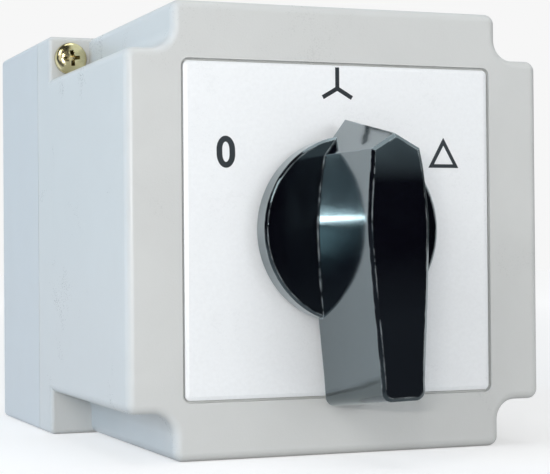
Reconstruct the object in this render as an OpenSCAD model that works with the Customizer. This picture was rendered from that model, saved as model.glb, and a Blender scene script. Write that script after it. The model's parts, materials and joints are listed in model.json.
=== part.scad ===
// Star-delta cam switch in its own surface-mounting enclosure.
// X is to the right, Z is up and the front faces -Y. The origin is the centre of
// the back face. A depth is a distance from the back face towards the front.
// Handle positions: off at -60 degrees, star at 0 and delta at +60, about +Y.

/* [Housing] */
// Width and height of the enclosure
body_w = 87; // [82:0.5:100]
// Depth of the base box, back face to parting line
base_depth = 37.2; // [34:0.2:50]
// Depth of the cover, parting line to front face
cover_depth = 70.5; // [68:0.5:90]
// Depth of the full-width flange at the back of the cover
flange_depth = 10.4; // [8:0.2:14]
// Width of the corner notches that clear the cover screws
notch = 9.2; // [8.6:0.1:10]
// Side wall of base and cover
wall = 2.6; // [2.2:0.1:3]
// Back wall of the base
rear_wall = 3; // [2.4:0.1:4]
// Front wall of the cover
front_wall = 3; // [2.6:0.1:4]
// Corner radius of base and flange
body_r = 1.2; // [1:0.1:2]
// Rounding of the flange's front edges
flange_r = 1; // [0.5:0.1:1]
// Outer corner radius beside a notch
arm_r = 2; // [1:0.1:2.5]
// Inner corner radius of a notch
notch_r = 4; // [2:0.1:4.5]
// Rounding of the cover's front edges
front_r = 1.8; // [1:0.1:2]
// Step at the parting line
seam = 0.4; // [0.2:0.1:0.6]

/* [Legend plate] */
// Distance of the legend plate's edge from the bottom of a notch
plate_margin = 2.3; // [2:0.1:4]
// Thickness of the legend plate
plate_t = 1.2; // [1:0.1:1.5]
// Gap round the legend plate in its recess
plate_gap = 0.5; // [0.3:0.1:0.8]
// Corner radius of the legend plate
plate_r = 1; // [0.5:0.1:2]

/* [Handle] */
// Radius of the handle's disc
disc_r = 17.5; // [16:0.5:20]
// Thickness of the handle's disc
disc_t = 4.9; // [4:0.1:6]
// Gap between the disc and the legend plate
disc_gap = 0.8; // [0.5:0.1:1.5]
// Reach of the grip in front of the enclosure
grip_reach = 26.5; // [23:0.5:30]
// Gap between the grip's foot and the legend plate
grip_gap = 3.4; // [2.5:0.1:3.8]
// Half width of the grip's widest part, at its front
grip_half = 6.1; // [5.7:0.1:6.5]
// How far the grip's sides spread from front to foot
grip_flare = 1.3; // [0.8:0.1:1.6]
// Height of the grip's shoulders above the axis
shoulder_h = 14.3; // [13:0.1:15]
// Height of the pointer tip above the axis, at the front
tip_h = 17; // [16:0.1:18]
// How far the pointer tip runs out from front to foot
tip_run = 4.2; // [3:0.1:5]
// Drop of the grip's tail below the axis, at the front
tail_drop = 31.2; // [29:0.1:33]
// How far the tail runs out from front to foot
tail_run = 2.5; // [1.5:0.1:3.5]
// Width of the bevel round the grip's front face
grip_bevel = 0.6; // [0.3:0.1:1]
// Angle by which the handle hangs off its mark, inside the play of its square
handle_slack = 1.4; // [0:0.1:1.5]

/* [Switch] */
// Side of the square shaft
shaft_sq = 6; // [5.6:0.1:6.2]
// Width of the contact blocks as a share of the enclosure's width
block_w_share = 0.5288; // [0.52:0.001:0.54]
// Height of the contact blocks as a share of the enclosure's width
block_h_share = 0.6552; // [0.655:0.001:0.68]
// Depth of the index housing
index_t = 14; // [14:0.1:14.6]
// Travel of a plunger from star to either neighbour
travel = 3; // [2.8:0.1:3.1]
// Turn of the handle from one position to the next
step_angle = 60; // [60:1:60]
// Radius of the cam where the plungers stand at star
cam_mid_r = 9.5; // [9.4:0.1:9.7]
// Wall of the contact blocks
block_wall = 2.5; // [2.2:0.1:2.8]

/* [Fasteners] */
// Thread radius of the cover screws
cover_screw_r = 1.75; // [1.6:0.05:1.9]
// Head radius of the cover screws
cover_head_r = 3.5; // [3.2:0.1:3.8]
// Thread radius of the tie bolts and terminal screws
small_screw_r = 1.75; // [1.5:0.05:1.8]
// Head radius of the small screws
small_head_r = 3.1; // [2.8:0.1:3.3]
// Radius of the wall-fixing holes
fix_r = 2.25; // [2:0.05:2.6]
// Radius of the cable knockouts
knockout_r = 10.25; // [8:0.05:10.5]

/* [Hidden] */
$fn = 64;

// General clearances
overrun = 0.5;
play = 0.1;
running = 0.05;
thin = 0.02;

// Housing
half = body_w / 2;
arm = half - notch;
front = base_depth + cover_depth;
seat = base_depth + flange_depth;
screw_share = 0.53;
screw_at = half - screw_share * notch;
plate_w = 2 * (arm - plate_margin);
fix_in_w = 3.2;
fix_in_h = 1.7;
fix_x = arm - wall - fix_in_w;
fix_z = arm - wall - fix_in_h;
gasket_w = 1.2;
gasket_t = 1.2;
round_steps = 4;
pilot_depth = 18;
knockout_gap = 30;
knockout_line = 0.6;
knockout_skin = 1;
knockout_inner_share = 0.79;
pad_r = 4.5;
pad_t = 1.5;

// Cover screw heads
cover_head_t = 2.4;
cross_w = 0.8;
cross_l = 4.2;
cross_depth = 1.4;

// Shaft passage through the cover
hub_r = 6;
hub_past_seal = 0.5;
passage_r = hub_r + 4 * play;
seal_t = 3;
seal_w = 2.4;
seal_seat_r = hub_r + seal_w + play;
seal_boss_r = seal_seat_r + block_wall;
plate_hole_r = hub_r + 6 * play;

// Handle
disc_chamfer = 0.5;
grip_front = front + grip_reach;
grip_foot = front + grip_gap;
belly_h = 1;
shoulder_share = 0.78;
shoulder_foot_share = 0.735;
upper_bend_share = 0.925;
upper_bend_h = 8;
lower_bend_share = 0.9;
lower_bend_foot_share = 1.025;
lower_bend_h = -12;
tail_share = 0.7;
tail_foot_share = 0.78;
tail_start = 3.4;
tail_r = 1.8;
socket_past = 17;
clip_t = 0.4;
clip_w = 4;
clip_l = 11;
clip_start = 4.5;
clip_bow = 0.35;
clip_pocket = 1.1;

// Stack of the switch, from the back
stage_count = 4;
block_w = body_w * block_w_share;
block_h = body_w * block_h_share;
stack_floor = 9;
plate_rear_t = 3;
flange_t = 3;
rear_plate_back = rear_wall + stack_floor;
stack_back = rear_plate_back + plate_rear_t;
stack_to_front = 15.7;
flange_front = front - stack_to_front;
flange_back = flange_front - flange_t;
index_back = flange_back - index_t;
block_t = (index_back - stack_back) / stage_count;
mount_at = block_h / 2 + small_head_r + overrun;
plate_rear_h = 2 * (mount_at + small_head_r + overrun);
mount_boss_r = 4.5;
mount_screw_depth = 7;

// Shaft and its bearings
rear_journal_r = shaft_sq / 2;
front_journal_r = 4.4;
bearing_r = front_journal_r + running;
rear_bearing_r = rear_journal_r + running;
socket_sq = shaft_sq + 2 * play;
bore_sq = shaft_sq + play;

// Inside one contact block, measured from its back
floor_t = 2;
cam_back = 4.5;
cam_to_next = 2.5;
cam_t = block_t - cam_back - cam_to_next;
cam_hub_r = 5.6;
cam_hole_r = cam_hub_r + 6 * play;
pad_back = 3.7;
pad_thick = 1.2;
bridge_back = pad_back + pad_thick + play;
bridge_t = 1.2;
plunger_front = block_t - 3 * play;
nose_r = 2;
pitch_r = cam_mid_r + nose_r + play;
spiral_angle = 72;
spiral_rate = travel / step_angle;
spiral_slope = spiral_rate * 180 / PI;
cam_step_angle = 3;
plunger_half = 4;
plunger_end = block_h / 2 - block_wall - travel - 6 * play;
plunger_past_bridge = 5.4;
bridge_at = plunger_end - plunger_past_bridge;
rail_past_bridge = 3.2;
rail_start = bridge_at - rail_past_bridge;
rail_w = 2.5;
rail_half = plunger_half + play;
bridge_half = 13;
bridge_h = 3;
tip_half = 0.8;
bridge_body_half = 8.5;
pad_over = 0.3;
pad_from = 8;
pad_to = 14;
strip_from = 13.5;
strip_h = 5;
terminal_in = 1;
terminal_at = bridge_at - terminal_in;
terminal_half = 4;
terminal_boss_from = 14.5;
tab_t = 1.2;
tab_to_next = 1.5;
tab_front = block_t - tab_to_next;
terminal_to_next = 5.5;
terminal_line = block_t - terminal_to_next;
tab_face = block_w / 2 + running + tab_t;
clamp_t = 0.8;
clamp_half = 3.5;
small_head_t = 2.2;
slot_w = 0.8;
slot_depth = 1;
tie_at = 16.8;
tie_boss_r = 3.4;
tie_hole_r = small_screw_r + play;

// Plunger springs
spring_wire_r = 0.3;
spring_coil_r = 1.9;
spring_hole_r = 2.5;
spring_past_nose = 0.9;
spring_floor = pitch_r + nose_r + spring_past_nose;
spring_turns = 5;
spring_sides = 6;
spring_rings = 10;
spring_line = (bridge_back + bridge_t + plunger_front) / 2;

// Index mechanism, measured from the back of its housing
wheel_back = 4;
wheel_t = 5;
wheel_r = 11;
notch_wheel_r = 2.6;
notch_wheel_at = 12;
leaf_t = 0.7;
leaf_line = 13.9;
leaf_dip = 4;
leaf_nose_half = 5;
leaf_half = block_w / 2 - block_wall - 2 * play;
leaf_points = 20;
leaf_stop_w = 3;
leaf_stop_h = 2.1;
stop_back = 9.4;
stop_t = 2.6;
stop_r = 9.5;
lug_r = 14;
lug_half_angle = 12;
stop_play = 0.5;
post_r = 11.5;
post_out_r = 15.5;
post_angle = 15;

// Earth terminal
earth_in = 9;
earth_at = half - earth_in;
earth_boss_t = 7;
earth_bar_t = 3;
earth_half_w = 4.5;
earth_half_h = 8;
earth_screw_r = 2;
earth_head_r = 3.6;
earth_head_t = 2.6;

// Which handle positions close a contact: first and last, off -1, star 0, delta 1
line = [0, 1];
star = [0, 0];
delta = [1, 1];
upper_program = [line, delta, star, delta];
lower_program = [line, delta, star, line];

// Links between neighbouring stage_count: stage of the first end, side, upper 1 or lower -1
stage_links = [[1, 1, 1], [2, -1, 1], [3, 1, 1], [1, 1, -1], [2, -1, -1]];
// Links between the upper and lower terminal of one stage: stage, side
cross_links = [[4, -1], [3, 1]];

// Colours
shell_grey = [0.80, 0.81, 0.80];
base_grey = [0.78, 0.80, 0.82];
plate_white = [0.95, 0.95, 0.94];
handle_black = [0.07, 0.07, 0.08];
moulding_black = [0.16, 0.16, 0.17];
cam_white = [0.86, 0.85, 0.80];
screw_yellow = [0.80, 0.66, 0.30];
bright_steel = [0.70, 0.71, 0.72];
contact_brass = [0.78, 0.62, 0.32];
seal_black = [0.10, 0.10, 0.10];

// A flat outline in X and Z, thickened from one depth to another
module layer(from, to) {
    translate([0, -from, 0])
        rotate([90, 0, 0])
            linear_extrude(height = to - from)
                children();
}

// A round bar along Y from one depth to another
module bar(r, from, to) {
    layer(from, to) circle(r = r);
}

module rounded_rect(w, h, r) {
    square([w, h - 2 * r], center = true);
    square([w - 2 * r, h], center = true);
    for (sx = [-1, 1], sz = [-1, 1])
        translate([sx * (w / 2 - r), sz * (h / 2 - r)]) circle(r = r);
}

// The cover's outline with its four notched corners, moved inwards by inset
module notched(inset) {
    h = half - inset;
    a = arm - inset;
    r = max(arm_r - inset, arm_r / 4);
    q = notch_r + inset;
    rounded_rect(2 * h, 2 * a, r);
    rounded_rect(2 * a, 2 * h, r);
    for (i = [0:3])
        rotate(90 * i)
            difference() {
                translate([a - overrun, a - overrun]) square(q + overrun);
                translate([a + q, a + q]) circle(r = q);
            }
}

module at_corners(x, z) {
    for (sx = [-1, 1], sz = [-1, 1]) translate([sx * x, sz * z]) children();
}

// The two opposite corners that hold a cover screw
module at_screws() {
    for (s = [-1, 1]) translate([-s * screw_at, s * screw_at]) children();
}

// The square flange at the cover's foot, its front edges rounded
module flange() {
    hull() {
        layer(base_depth + seam, seat - flange_r) rounded_rect(body_w, body_w, body_r);
        for (k = [1:round_steps]) {
            turn = 90 * k / round_steps;
            inset = flange_r * (1 - cos(turn));
            depth = seat - flange_r + flange_r * sin(turn);
            layer(depth - thin, depth)
                rounded_rect(body_w - 2 * inset, body_w - 2 * inset, max(body_r - inset, thin));
        }
    }
}

// One arm of the cover's notched body, its front edges rounded
module rounded_arm(w, h) {
    hull() {
        layer(seat - flange_r - overrun, front - front_r)
            rounded_rect(w, h, arm_r, $fn = 32);
        for (k = [1:round_steps]) {
            turn = 90 * k / round_steps;
            inset = front_r * (1 - cos(turn));
            depth = front - front_r + front_r * sin(turn);
            layer(depth - thin, depth)
                rounded_rect(w - 2 * inset, h - 2 * inset, max(arm_r - inset, thin), $fn = 32);
        }
    }
}

// The inner corner of a notch, with the same rounding along its front edge
module notch_fillet() {
    c = arm + notch_r;
    flare = [for (k = [0:round_steps])
        [notch_r + front_r * (1 - cos(90 * k / round_steps)),
         front - front_r + front_r * sin(90 * k / round_steps)]];
    difference() {
        layer(seat - overrun, front)
            translate([arm - front_r - overrun, arm - front_r - overrun])
                square(notch_r + front_r + overrun);
        translate([c, 0, c])
            rotate([90, 0, 0])
                rotate_extrude()
                    polygon(concat([[0, seat - flange_depth], [notch_r, seat - flange_depth]],
                                   flare, [[0, front + thin]]));
    }
}

module cover() {
    color(shell_grey)
    difference() {
        union() {
            rounded_arm(body_w, 2 * arm);
            rounded_arm(2 * arm, body_w);
            for (i = [0:3]) rotate([0, 90 * i, 0]) notch_fillet();
            flange();
            layer(base_depth, base_depth + seam + overrun)
                rounded_rect(body_w - 2 * seam, body_w - 2 * seam, body_r - seam);
        }
        difference() {
            layer(base_depth - overrun, front - front_wall) notched(wall);
            bar(seal_boss_r, front - front_wall - seal_t - block_wall / 2, front);
        }
        bar(passage_r, base_depth, front + overrun);
        bar(seal_seat_r, base_depth, front - front_wall);
        layer(front - plate_t, front + overrun)
            rounded_rect(plate_w + 2 * plate_gap, plate_w + 2 * plate_gap, plate_r + plate_gap);
        layer(base_depth - overrun, front)
            at_screws() circle(r = cover_screw_r + play);
    }
}

module knockout(side) {
    for (sx = [-1, 1])
        translate([sx * knockout_gap / 2, -base_depth / 2, side * half])
            rotate([side > 0 ? 180 : 0, 0, 0]) {
                for (r = [knockout_r, knockout_r * knockout_inner_share])
                    difference() {
                        translate([0, 0, -overrun])
                            cylinder(r = r, h = overrun + knockout_line);
                        translate([0, 0, -2 * overrun])
                            cylinder(r = r - knockout_line, h = 4 * overrun + knockout_line);
                    }
                translate([0, 0, knockout_skin + knockout_line])
                    cylinder(r = knockout_r - knockout_line, h = wall);
            }
}

module base_box() {
    color(base_grey)
    difference() {
        union() {
            difference() {
                layer(0, base_depth) rounded_rect(body_w, body_w, body_r);
                layer(rear_wall, base_depth + overrun) notched(wall);
            }
            layer(rear_wall - overrun, rear_wall + pad_t)
                at_corners(fix_x, fix_z) circle(r = pad_r);
            layer(rear_wall - overrun, rear_plate_back)
                at_corners(0, mount_at) circle(r = mount_boss_r);
            layer(rear_wall - overrun, rear_wall + earth_boss_t)
                translate([earth_at, 0]) circle(r = earth_half_w);
        }
        layer(base_depth - gasket_t, base_depth + overrun)
            difference() {
                notched((wall - gasket_w) / 2);
                notched((wall + gasket_w) / 2);
            }
        layer(base_depth - pilot_depth, base_depth + overrun)
            at_screws() circle(r = cover_screw_r + running);
        layer(-overrun, rear_wall + pad_t + overrun)
            at_corners(fix_x, fix_z) circle(r = fix_r);
        layer(rear_plate_back - mount_screw_depth, rear_plate_back + overrun)
            at_corners(0, mount_at) circle(r = small_screw_r + running);
        layer(rear_wall, rear_wall + earth_boss_t + overrun)
            translate([earth_at, 0]) circle(r = earth_screw_r + running);
        knockout(1);
        knockout(-1);
    }
}

module cover_gasket() {
    color(seal_black)
    layer(base_depth - gasket_t, base_depth)
        difference() {
            notched((wall - gasket_w) / 2 + running);
            notched((wall + gasket_w) / 2 - running);
        }
}

// A pan-head screw along Y, its head seated at a depth, with a cross recess
module pan_screw(r, head_r, head_t, seat_depth, length) {
    difference() {
        union() {
            bar(r, seat_depth - length, seat_depth + thin);
            bar(head_r, seat_depth, seat_depth + head_t / 2);
            translate([0, -(seat_depth + head_t / 2), 0])
                rotate([90, 0, 0])
                    rotate_extrude()
                        intersection() {
                            translate([0, head_t / 2 - head_r * 2])
                                circle(r = head_r * 2);
                            translate([0, -thin]) square([head_r, head_t / 2 + thin]);
                        }
        }
        for (a = [45, 135])
            layer(seat_depth + head_t - cross_depth, seat_depth + head_t + overrun)
                rotate(a) square([cross_l * head_r / cover_head_r, cross_w], center = true);
    }
}

module cover_screws() {
    color(screw_yellow)
    for (s = [-1, 1])
        translate([-s * screw_at, 0, s * screw_at])
            pan_screw(cover_screw_r, cover_head_r, cover_head_t, seat,
                      flange_depth + pilot_depth - overrun);
}

module legend_plate() {
    color(plate_white)
    layer(front - plate_t, front)
        difference() {
            rounded_rect(plate_w, plate_w, plate_r);
            circle(r = plate_hole_r);
        }
}

module shaft_seal() {
    color(seal_black)
    layer(front - front_wall - seal_t, front - front_wall)
        difference() {
            circle(r = seal_seat_r - running);
            circle(r = hub_r + running);
        }
}

module rear_plate() {
    color(bright_steel)
    layer(rear_plate_back, stack_back)
        difference() {
            rounded_rect(block_w, plate_rear_h, arm_r);
            circle(r = rear_bearing_r);
            at_corners(tie_at, 0) circle(r = small_screw_r + running);
            at_corners(0, mount_at) circle(r = tie_hole_r);
        }
}

module mounting_screws() {
    color(bright_steel)
    for (sz = [-1, 1])
        translate([0, 0, sz * mount_at])
            pan_screw(small_screw_r, small_head_r, small_head_t, stack_back,
                      plate_rear_t + mount_screw_depth - overrun);
}

function stage_back(k) = stack_back + block_t * (stage_count - k);

// Places children drawn inside one contact block
module in_stage(k) {
    translate([0, -stage_back(k), 0]) children();
}

// Repeats what is drawn for the upper right quarter
module quarters() {
    for (sx = [0, 1], sz = [0, 1])
        mirror([sx, 0, 0]) mirror([0, 0, sz]) children();
}

// A block given by its X, depth and Z limits
module slab(x0, x1, d0, d1, z0, z1) {
    translate([x0, -d1, z0]) cube([x1 - x0, d1 - d0, z1 - z0]);
}

module contact_block(k) {
    inner_w = block_w - 2 * block_wall;
    inner_h = block_h - 2 * block_wall;
    wall_in = inner_h / 2;
    rail_turn = bridge_at + bridge_h / 2 + travel + 2 * play;
    terminal_top = terminal_at + terminal_half;
    terminal_foot = terminal_at - terminal_half;
    color(moulding_black)
    in_stage(k)
    difference() {
        union() {
            layer(0, floor_t) rounded_rect(block_w, block_h, arm_r);
            layer(0, block_t)
                difference() {
                    rounded_rect(block_w, block_h, arm_r);
                    rounded_rect(inner_w, inner_h, arm_r / 2);
                }
            layer(0, block_t) at_corners(tie_at, 0) circle(r = tie_boss_r);
            quarters() {
                slab(0, rail_half + rail_w, 0, pad_back + pad_thick, rail_start, wall_in + overrun);
                slab(rail_half, rail_half + rail_w, bridge_back + bridge_t + 2 * play,
                     plunger_front, rail_start, wall_in + overrun);
                slab(rail_half, rail_half + rail_w, 0, plunger_front, rail_turn,
                     wall_in + overrun);
                slab(pad_from, pad_to, 0, pad_back - running, rail_start, terminal_top);
                slab(terminal_boss_from, inner_w / 2 + overrun, 0, tab_front,
                     terminal_foot, terminal_top);
            }
        }
        bar(cam_hole_r, -overrun, floor_t + overrun);
        layer(-overrun, block_t + overrun) at_corners(tie_at, 0) circle(r = tie_hole_r);
        quarters() {
            slab(pad_to - overrun, block_w, pad_back - running, pad_back + pad_thick + running,
                 terminal_at - strip_h / 2 - play, terminal_at + strip_h / 2 + play);
            translate([terminal_boss_from + overrun, -terminal_line, terminal_at])
                rotate([0, 90, 0])
                    cylinder(r = small_screw_r + running, h = block_w);
        }
    }
}

// Where a contact's pads start and end along Z
function pad_low(p) = bridge_at - p[1] * travel - tip_half - pad_over;
function pad_high(p) = bridge_at - p[0] * travel + tip_half + pad_over;

// One fixed contact of the upper right quarter: pad, strip and terminal tab
module fixed_contact(p) {
    difference() {
        union() {
            slab(pad_from, pad_to, pad_back, pad_back + pad_thick, pad_low(p), pad_high(p));
            slab(strip_from, tab_face, pad_back, pad_back + pad_thick,
                 terminal_at - strip_h / 2, terminal_at + strip_h / 2);
            slab(tab_face - tab_t, tab_face, pad_back, tab_front,
                 terminal_at - clamp_half, terminal_at + clamp_half);
        }
        translate([block_w / 2 - overrun, -terminal_line, terminal_at])
            rotate([0, 90, 0])
                cylinder(r = small_screw_r + running, h = tab_t + 2 * overrun);
    }
}

module fixed_contacts(k) {
    color(contact_brass)
    in_stage(k)
    for (sx = [0, 1])
        mirror([sx, 0, 0]) {
            fixed_contact(upper_program[k - 1]);
            mirror([0, 0, 1]) fixed_contact(lower_program[k - 1]);
        }
}

// A link joins this terminal: stage, side and row as in stage_links
function linked(k, side, row) =
    len([for (l = stage_links)
        if (l[1] == side && l[2] == row && (l[0] == k || l[0] + 1 == k)) l]) +
    len([for (l = cross_links) if (l[0] == k && l[1] == side) l]) > 0;

function terminal_depth(k) = stage_back(k) + terminal_line;

// A hole for a terminal screw, across the side of the stack
module terminal_hole(k, side, row) {
    translate([0, -terminal_depth(k), row * terminal_at])
        rotate([0, side * 90, 0])
            cylinder(r = small_screw_r + running, h = block_w);
}

// A plate on the terminal tabs, from one depth and height to another
module tab_plate(side, d0, d1, z0, z1) {
    x = side * (tab_face + clamp_t / 2);
    slab(x - clamp_t / 2, x + clamp_t / 2, d0, d1, z0, z1);
}

module link_bars() {
    color(contact_brass) {
        for (l = stage_links)
            difference() {
                tab_plate(l[1], terminal_depth(l[0] + 1) - clamp_half,
                          terminal_depth(l[0]) + clamp_half,
                          l[2] * terminal_at - clamp_half, l[2] * terminal_at + clamp_half);
                terminal_hole(l[0], l[1], l[2]);
                terminal_hole(l[0] + 1, l[1], l[2]);
            }
        for (l = cross_links)
            difference() {
                tab_plate(l[1], terminal_depth(l[0]) - clamp_half,
                          terminal_depth(l[0]) + clamp_half,
                          -terminal_at - clamp_half, terminal_at + clamp_half);
                terminal_hole(l[0], l[1], 1);
                terminal_hole(l[0], l[1], -1);
            }
    }
}

module terminal_clamps() {
    color(bright_steel)
    for (k = [1:stage_count], side = [-1, 1], row = [-1, 1])
        if (!linked(k, side, row))
            difference() {
                tab_plate(side, terminal_depth(k) - clamp_half, terminal_depth(k) + clamp_half,
                          row * terminal_at - clamp_half, row * terminal_at + clamp_half);
                terminal_hole(k, side, row);
            }
}

module terminal_screws() {
    seat_x = tab_face + clamp_t;
    shank = seat_x - terminal_boss_from - 2 * overrun;
    color(bright_steel)
    for (k = [1:stage_count], side = [-1, 1], row = [-1, 1])
        translate([side * seat_x, -terminal_depth(k), row * terminal_at])
            rotate([0, side * 90, 0])
                difference() {
                    union() {
                        translate([0, 0, -shank]) cylinder(r = small_screw_r, h = shank + thin);
                        cylinder(r = small_head_r, h = small_head_t);
                    }
                    translate([0, 0, small_head_t])
                        cube([slot_w, 3 * small_head_r, 2 * slot_depth], center = true);
                }
}

module index_housing() {
    inner_w = block_w - 2 * block_wall;
    inner_h = block_h - 2 * block_wall;
    post_from = step_angle + lug_half_angle + stop_play;
    color(moulding_black)
    translate([0, -index_back, 0])
    difference() {
        union() {
            layer(0, floor_t) rounded_rect(block_w, block_h, arm_r);
            layer(0, index_t)
                difference() {
                    rounded_rect(block_w, block_h, arm_r);
                    rounded_rect(inner_w, inner_h, arm_r / 2);
                }
            layer(0, index_t) at_corners(tie_at, 0) circle(r = tie_boss_r);
            quarters()
                slab(inner_w / 2 - leaf_stop_w, inner_w / 2 + overrun, 0, wheel_back + wheel_t,
                     leaf_line + leaf_t / 2 + running,
                     leaf_line + leaf_t / 2 + leaf_stop_h);
            for (s = [-1, 1])
                layer(0, stop_back + stop_t)
                    intersection() {
                        difference() {
                            circle(r = post_out_r);
                            circle(r = post_r);
                        }
                        sector(s * post_from, s * (post_from + post_angle), 2 * post_out_r);
                    }
        }
        bar(cam_hole_r, -overrun, floor_t + overrun);
        layer(-overrun, index_t + overrun) at_corners(tie_at, 0) circle(r = tie_hole_r);
    }
}

// A wedge between two angles, both counted from straight up, clockwise from the front
module sector(a, b, r) {
    polygon([[0, 0], r * [sin(a), cos(a)], r * [sin(b), cos(b)]]);
}

module front_flange() {
    color(moulding_black)
    layer(flange_back, flange_front)
        difference() {
            rounded_rect(block_w, block_h, arm_r);
            circle(r = bearing_r);
            at_corners(tie_at, 0) circle(r = tie_hole_r);
        }
}

module tie_bolts() {
    color(bright_steel)
    for (sx = [-1, 1])
        translate([sx * tie_at, 0, 0])
            pan_screw(small_screw_r, small_head_r, small_head_t, flange_front,
                      flange_front - rear_plate_back - play);
}

module earth_terminal() {
    back = rear_wall + earth_boss_t;
    color(contact_brass)
    difference() {
        slab(earth_at - earth_half_w, earth_at + earth_half_w, back, back + earth_bar_t,
             -earth_half_h, earth_half_h);
        translate([earth_at, 0, 0]) bar(earth_screw_r + running, 0, front);
    }
}

module earth_screw() {
    color(screw_yellow)
    translate([earth_at, 0, 0])
        pan_screw(earth_screw_r, earth_head_r, earth_head_t,
                  rear_wall + earth_boss_t + earth_bar_t,
                  earth_boss_t + earth_bar_t - overrun);
}

// Centre line of the index spring: flat, with a rounded nose in the middle
function leaf_z(x) = leaf_line -
    (abs(x) < leaf_nose_half ? leaf_dip * (1 + cos(180 * x / leaf_nose_half)) / 2 : 0);

module index_spring() {
    steps = [for (i = [-leaf_points:leaf_points]) leaf_nose_half * i / leaf_points];
    xs = concat([-leaf_half], steps, [leaf_half]);
    n = len(xs);
    color(bright_steel)
    translate([0, -index_back, 0])
        layer(wheel_back + 2 * play, wheel_back + wheel_t - 2 * play)
            polygon(concat([for (x = xs) [x, leaf_z(x) - leaf_t / 2]],
                           [for (i = [1:n]) [xs[n - i], leaf_z(xs[n - i]) + leaf_t / 2]]));
}

module upper_index_spring() {
    index_spring();
}

module lower_index_spring() {
    mirror([0, 0, 1]) index_spring();
}

// A ring of points round the wire at one step of a coil spring
function coil_ring(i, steps, length) =
    let (turn = 360 * spring_turns * i / steps,
         rise = spring_wire_r + (length - 2 * spring_wire_r) * i / steps)
    [for (s = [0:spring_sides - 1])
        let (a = 360 * s / spring_sides,
             r = spring_coil_r + spring_wire_r * cos(a))
        [r * cos(turn), r * sin(turn), rise + spring_wire_r * sin(a)]];

// A coil spring standing on Z = 0
module coil(length) {
    steps = spring_turns * spring_rings;
    points = [for (i = [0:steps]) each coil_ring(i, steps, length)];
    n = spring_sides;
    sides = [for (i = [0:steps - 1], s = [0:n - 1])
        each [[i * n + s, (i + 1) * n + s, (i + 1) * n + (s + 1) % n],
              [i * n + s, (i + 1) * n + (s + 1) % n, i * n + (s + 1) % n]]];
    foot = [for (s = [1:n - 2]) [0, s, s + 1]];
    head = [for (s = [1:n - 2]) [steps * n, steps * n + s + 1, steps * n + s]];
    polyhedron(points = points, faces = concat(sides, foot, head));
}

module plunger_spring(k) {
    color(bright_steel)
    in_stage(k)
        translate([0, -spring_line, spring_floor + running])
            coil(block_h / 2 - block_wall - spring_floor - 2 * running);
}

// The path of a plunger's nose, in the cam's own angles from straight up
function cam_pitch(a) = pitch_r + spiral_rate * a;

// A point of the cam's edge: the path moved inwards by the nose radius and a clearance
function cam_edge(a, whole) =
    let (r = cam_pitch(a), n = sqrt(r * r + spiral_slope * spiral_slope),
         out = r - (nose_r + play) * r / n, along = (nose_r + play) * spiral_slope / n)
    [out * sin(whole) + along * cos(whole), out * cos(whole) - along * sin(whole)];

// One of the cam's two spiral flanks, starting from a half turn
function cam_flank(start) =
    [for (a = [-spiral_angle:cam_step_angle:spiral_angle]) cam_edge(a, a + start)];

module cam(k) {
    color(cam_white)
    in_stage(k)
    difference() {
        union() {
            layer(cam_back, cam_back + cam_t) polygon(concat(cam_flank(0), cam_flank(180)));
            bar(cam_hub_r, play / 2, block_t - play / 2);
        }
        layer(-overrun, block_t + overrun) square(bore_sq, center = true);
    }
}

module index_wheel() {
    color(cam_white)
    translate([0, -index_back, 0])
    difference() {
        union() {
            bar(wheel_r, wheel_back, wheel_back + wheel_t);
            bar(cam_hub_r, play / 2, stop_back - play / 2);
        }
        layer(-overrun, index_t)
            for (i = [0:5]) rotate(60 * i) translate([0, notch_wheel_at]) circle(r = notch_wheel_r);
        layer(-overrun, index_t) square(bore_sq, center = true);
    }
}

module stop_disc() {
    color(bright_steel)
    translate([0, -index_back, 0])
    layer(stop_back, stop_back + stop_t)
        difference() {
            union() {
                circle(r = stop_r);
                intersection() {
                    circle(r = lug_r);
                    sector(-lug_half_angle, lug_half_angle, 2 * lug_r);
                }
            }
            square(bore_sq, center = true);
        }
}

module shaft() {
    color(bright_steel) {
        layer(stack_back + play, front + socket_past) square(shaft_sq, center = true);
        bar(rear_journal_r, rear_plate_back + play, stack_back + overrun);
        bar(front_journal_r, flange_back + play, flange_front + play);
    }
}

function bend(a, b, c, n) =
    [for (i = [0:n]) let (t = i / n) (1 - t) * (1 - t) * a + 2 * t * (1 - t) * b + t * t * c];

function mix(a, b, t) = a + (b - a) * t;

// Right side of the grip's outline from tip to tail, spread outwards by a share of the flare
function grip_side(t) =
    let (w = grip_half + grip_flare * t,
         shoulder = [w * mix(shoulder_share, shoulder_foot_share, t), shoulder_h],
         belly = [w, belly_h],
         lower_bend = [w * mix(lower_bend_share, lower_bend_foot_share, t), lower_bend_h],
         drop = tail_drop + tail_run * t,
         tail_w = w * mix(tail_share, tail_foot_share, t),
         tail = [tail_w, -drop + tail_start])
    concat([[0, tip_h + tip_run * t]],
           bend(shoulder, [w * upper_bend_share, upper_bend_h], belly, 6),
           bend(belly, lower_bend, tail, 7),
           bend(tail, [tail_w, -drop], [tail_w - tail_r, -drop], 4));

// The whole outline at one level of the grip, pulled in by a bevel
module grip_outline(t, bevel) {
    side = grip_side(t);
    n = len(side);
    w = grip_half + grip_flare * t;
    x_share = 1 - bevel / w;
    z_share = 1 - 2 * bevel / (tip_h + tail_drop);
    scale([x_share, z_share])
        polygon(concat(side, [for (i = [1:n - 1]) [-side[n - i][0], side[n - i][1]]]));
}

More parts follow.
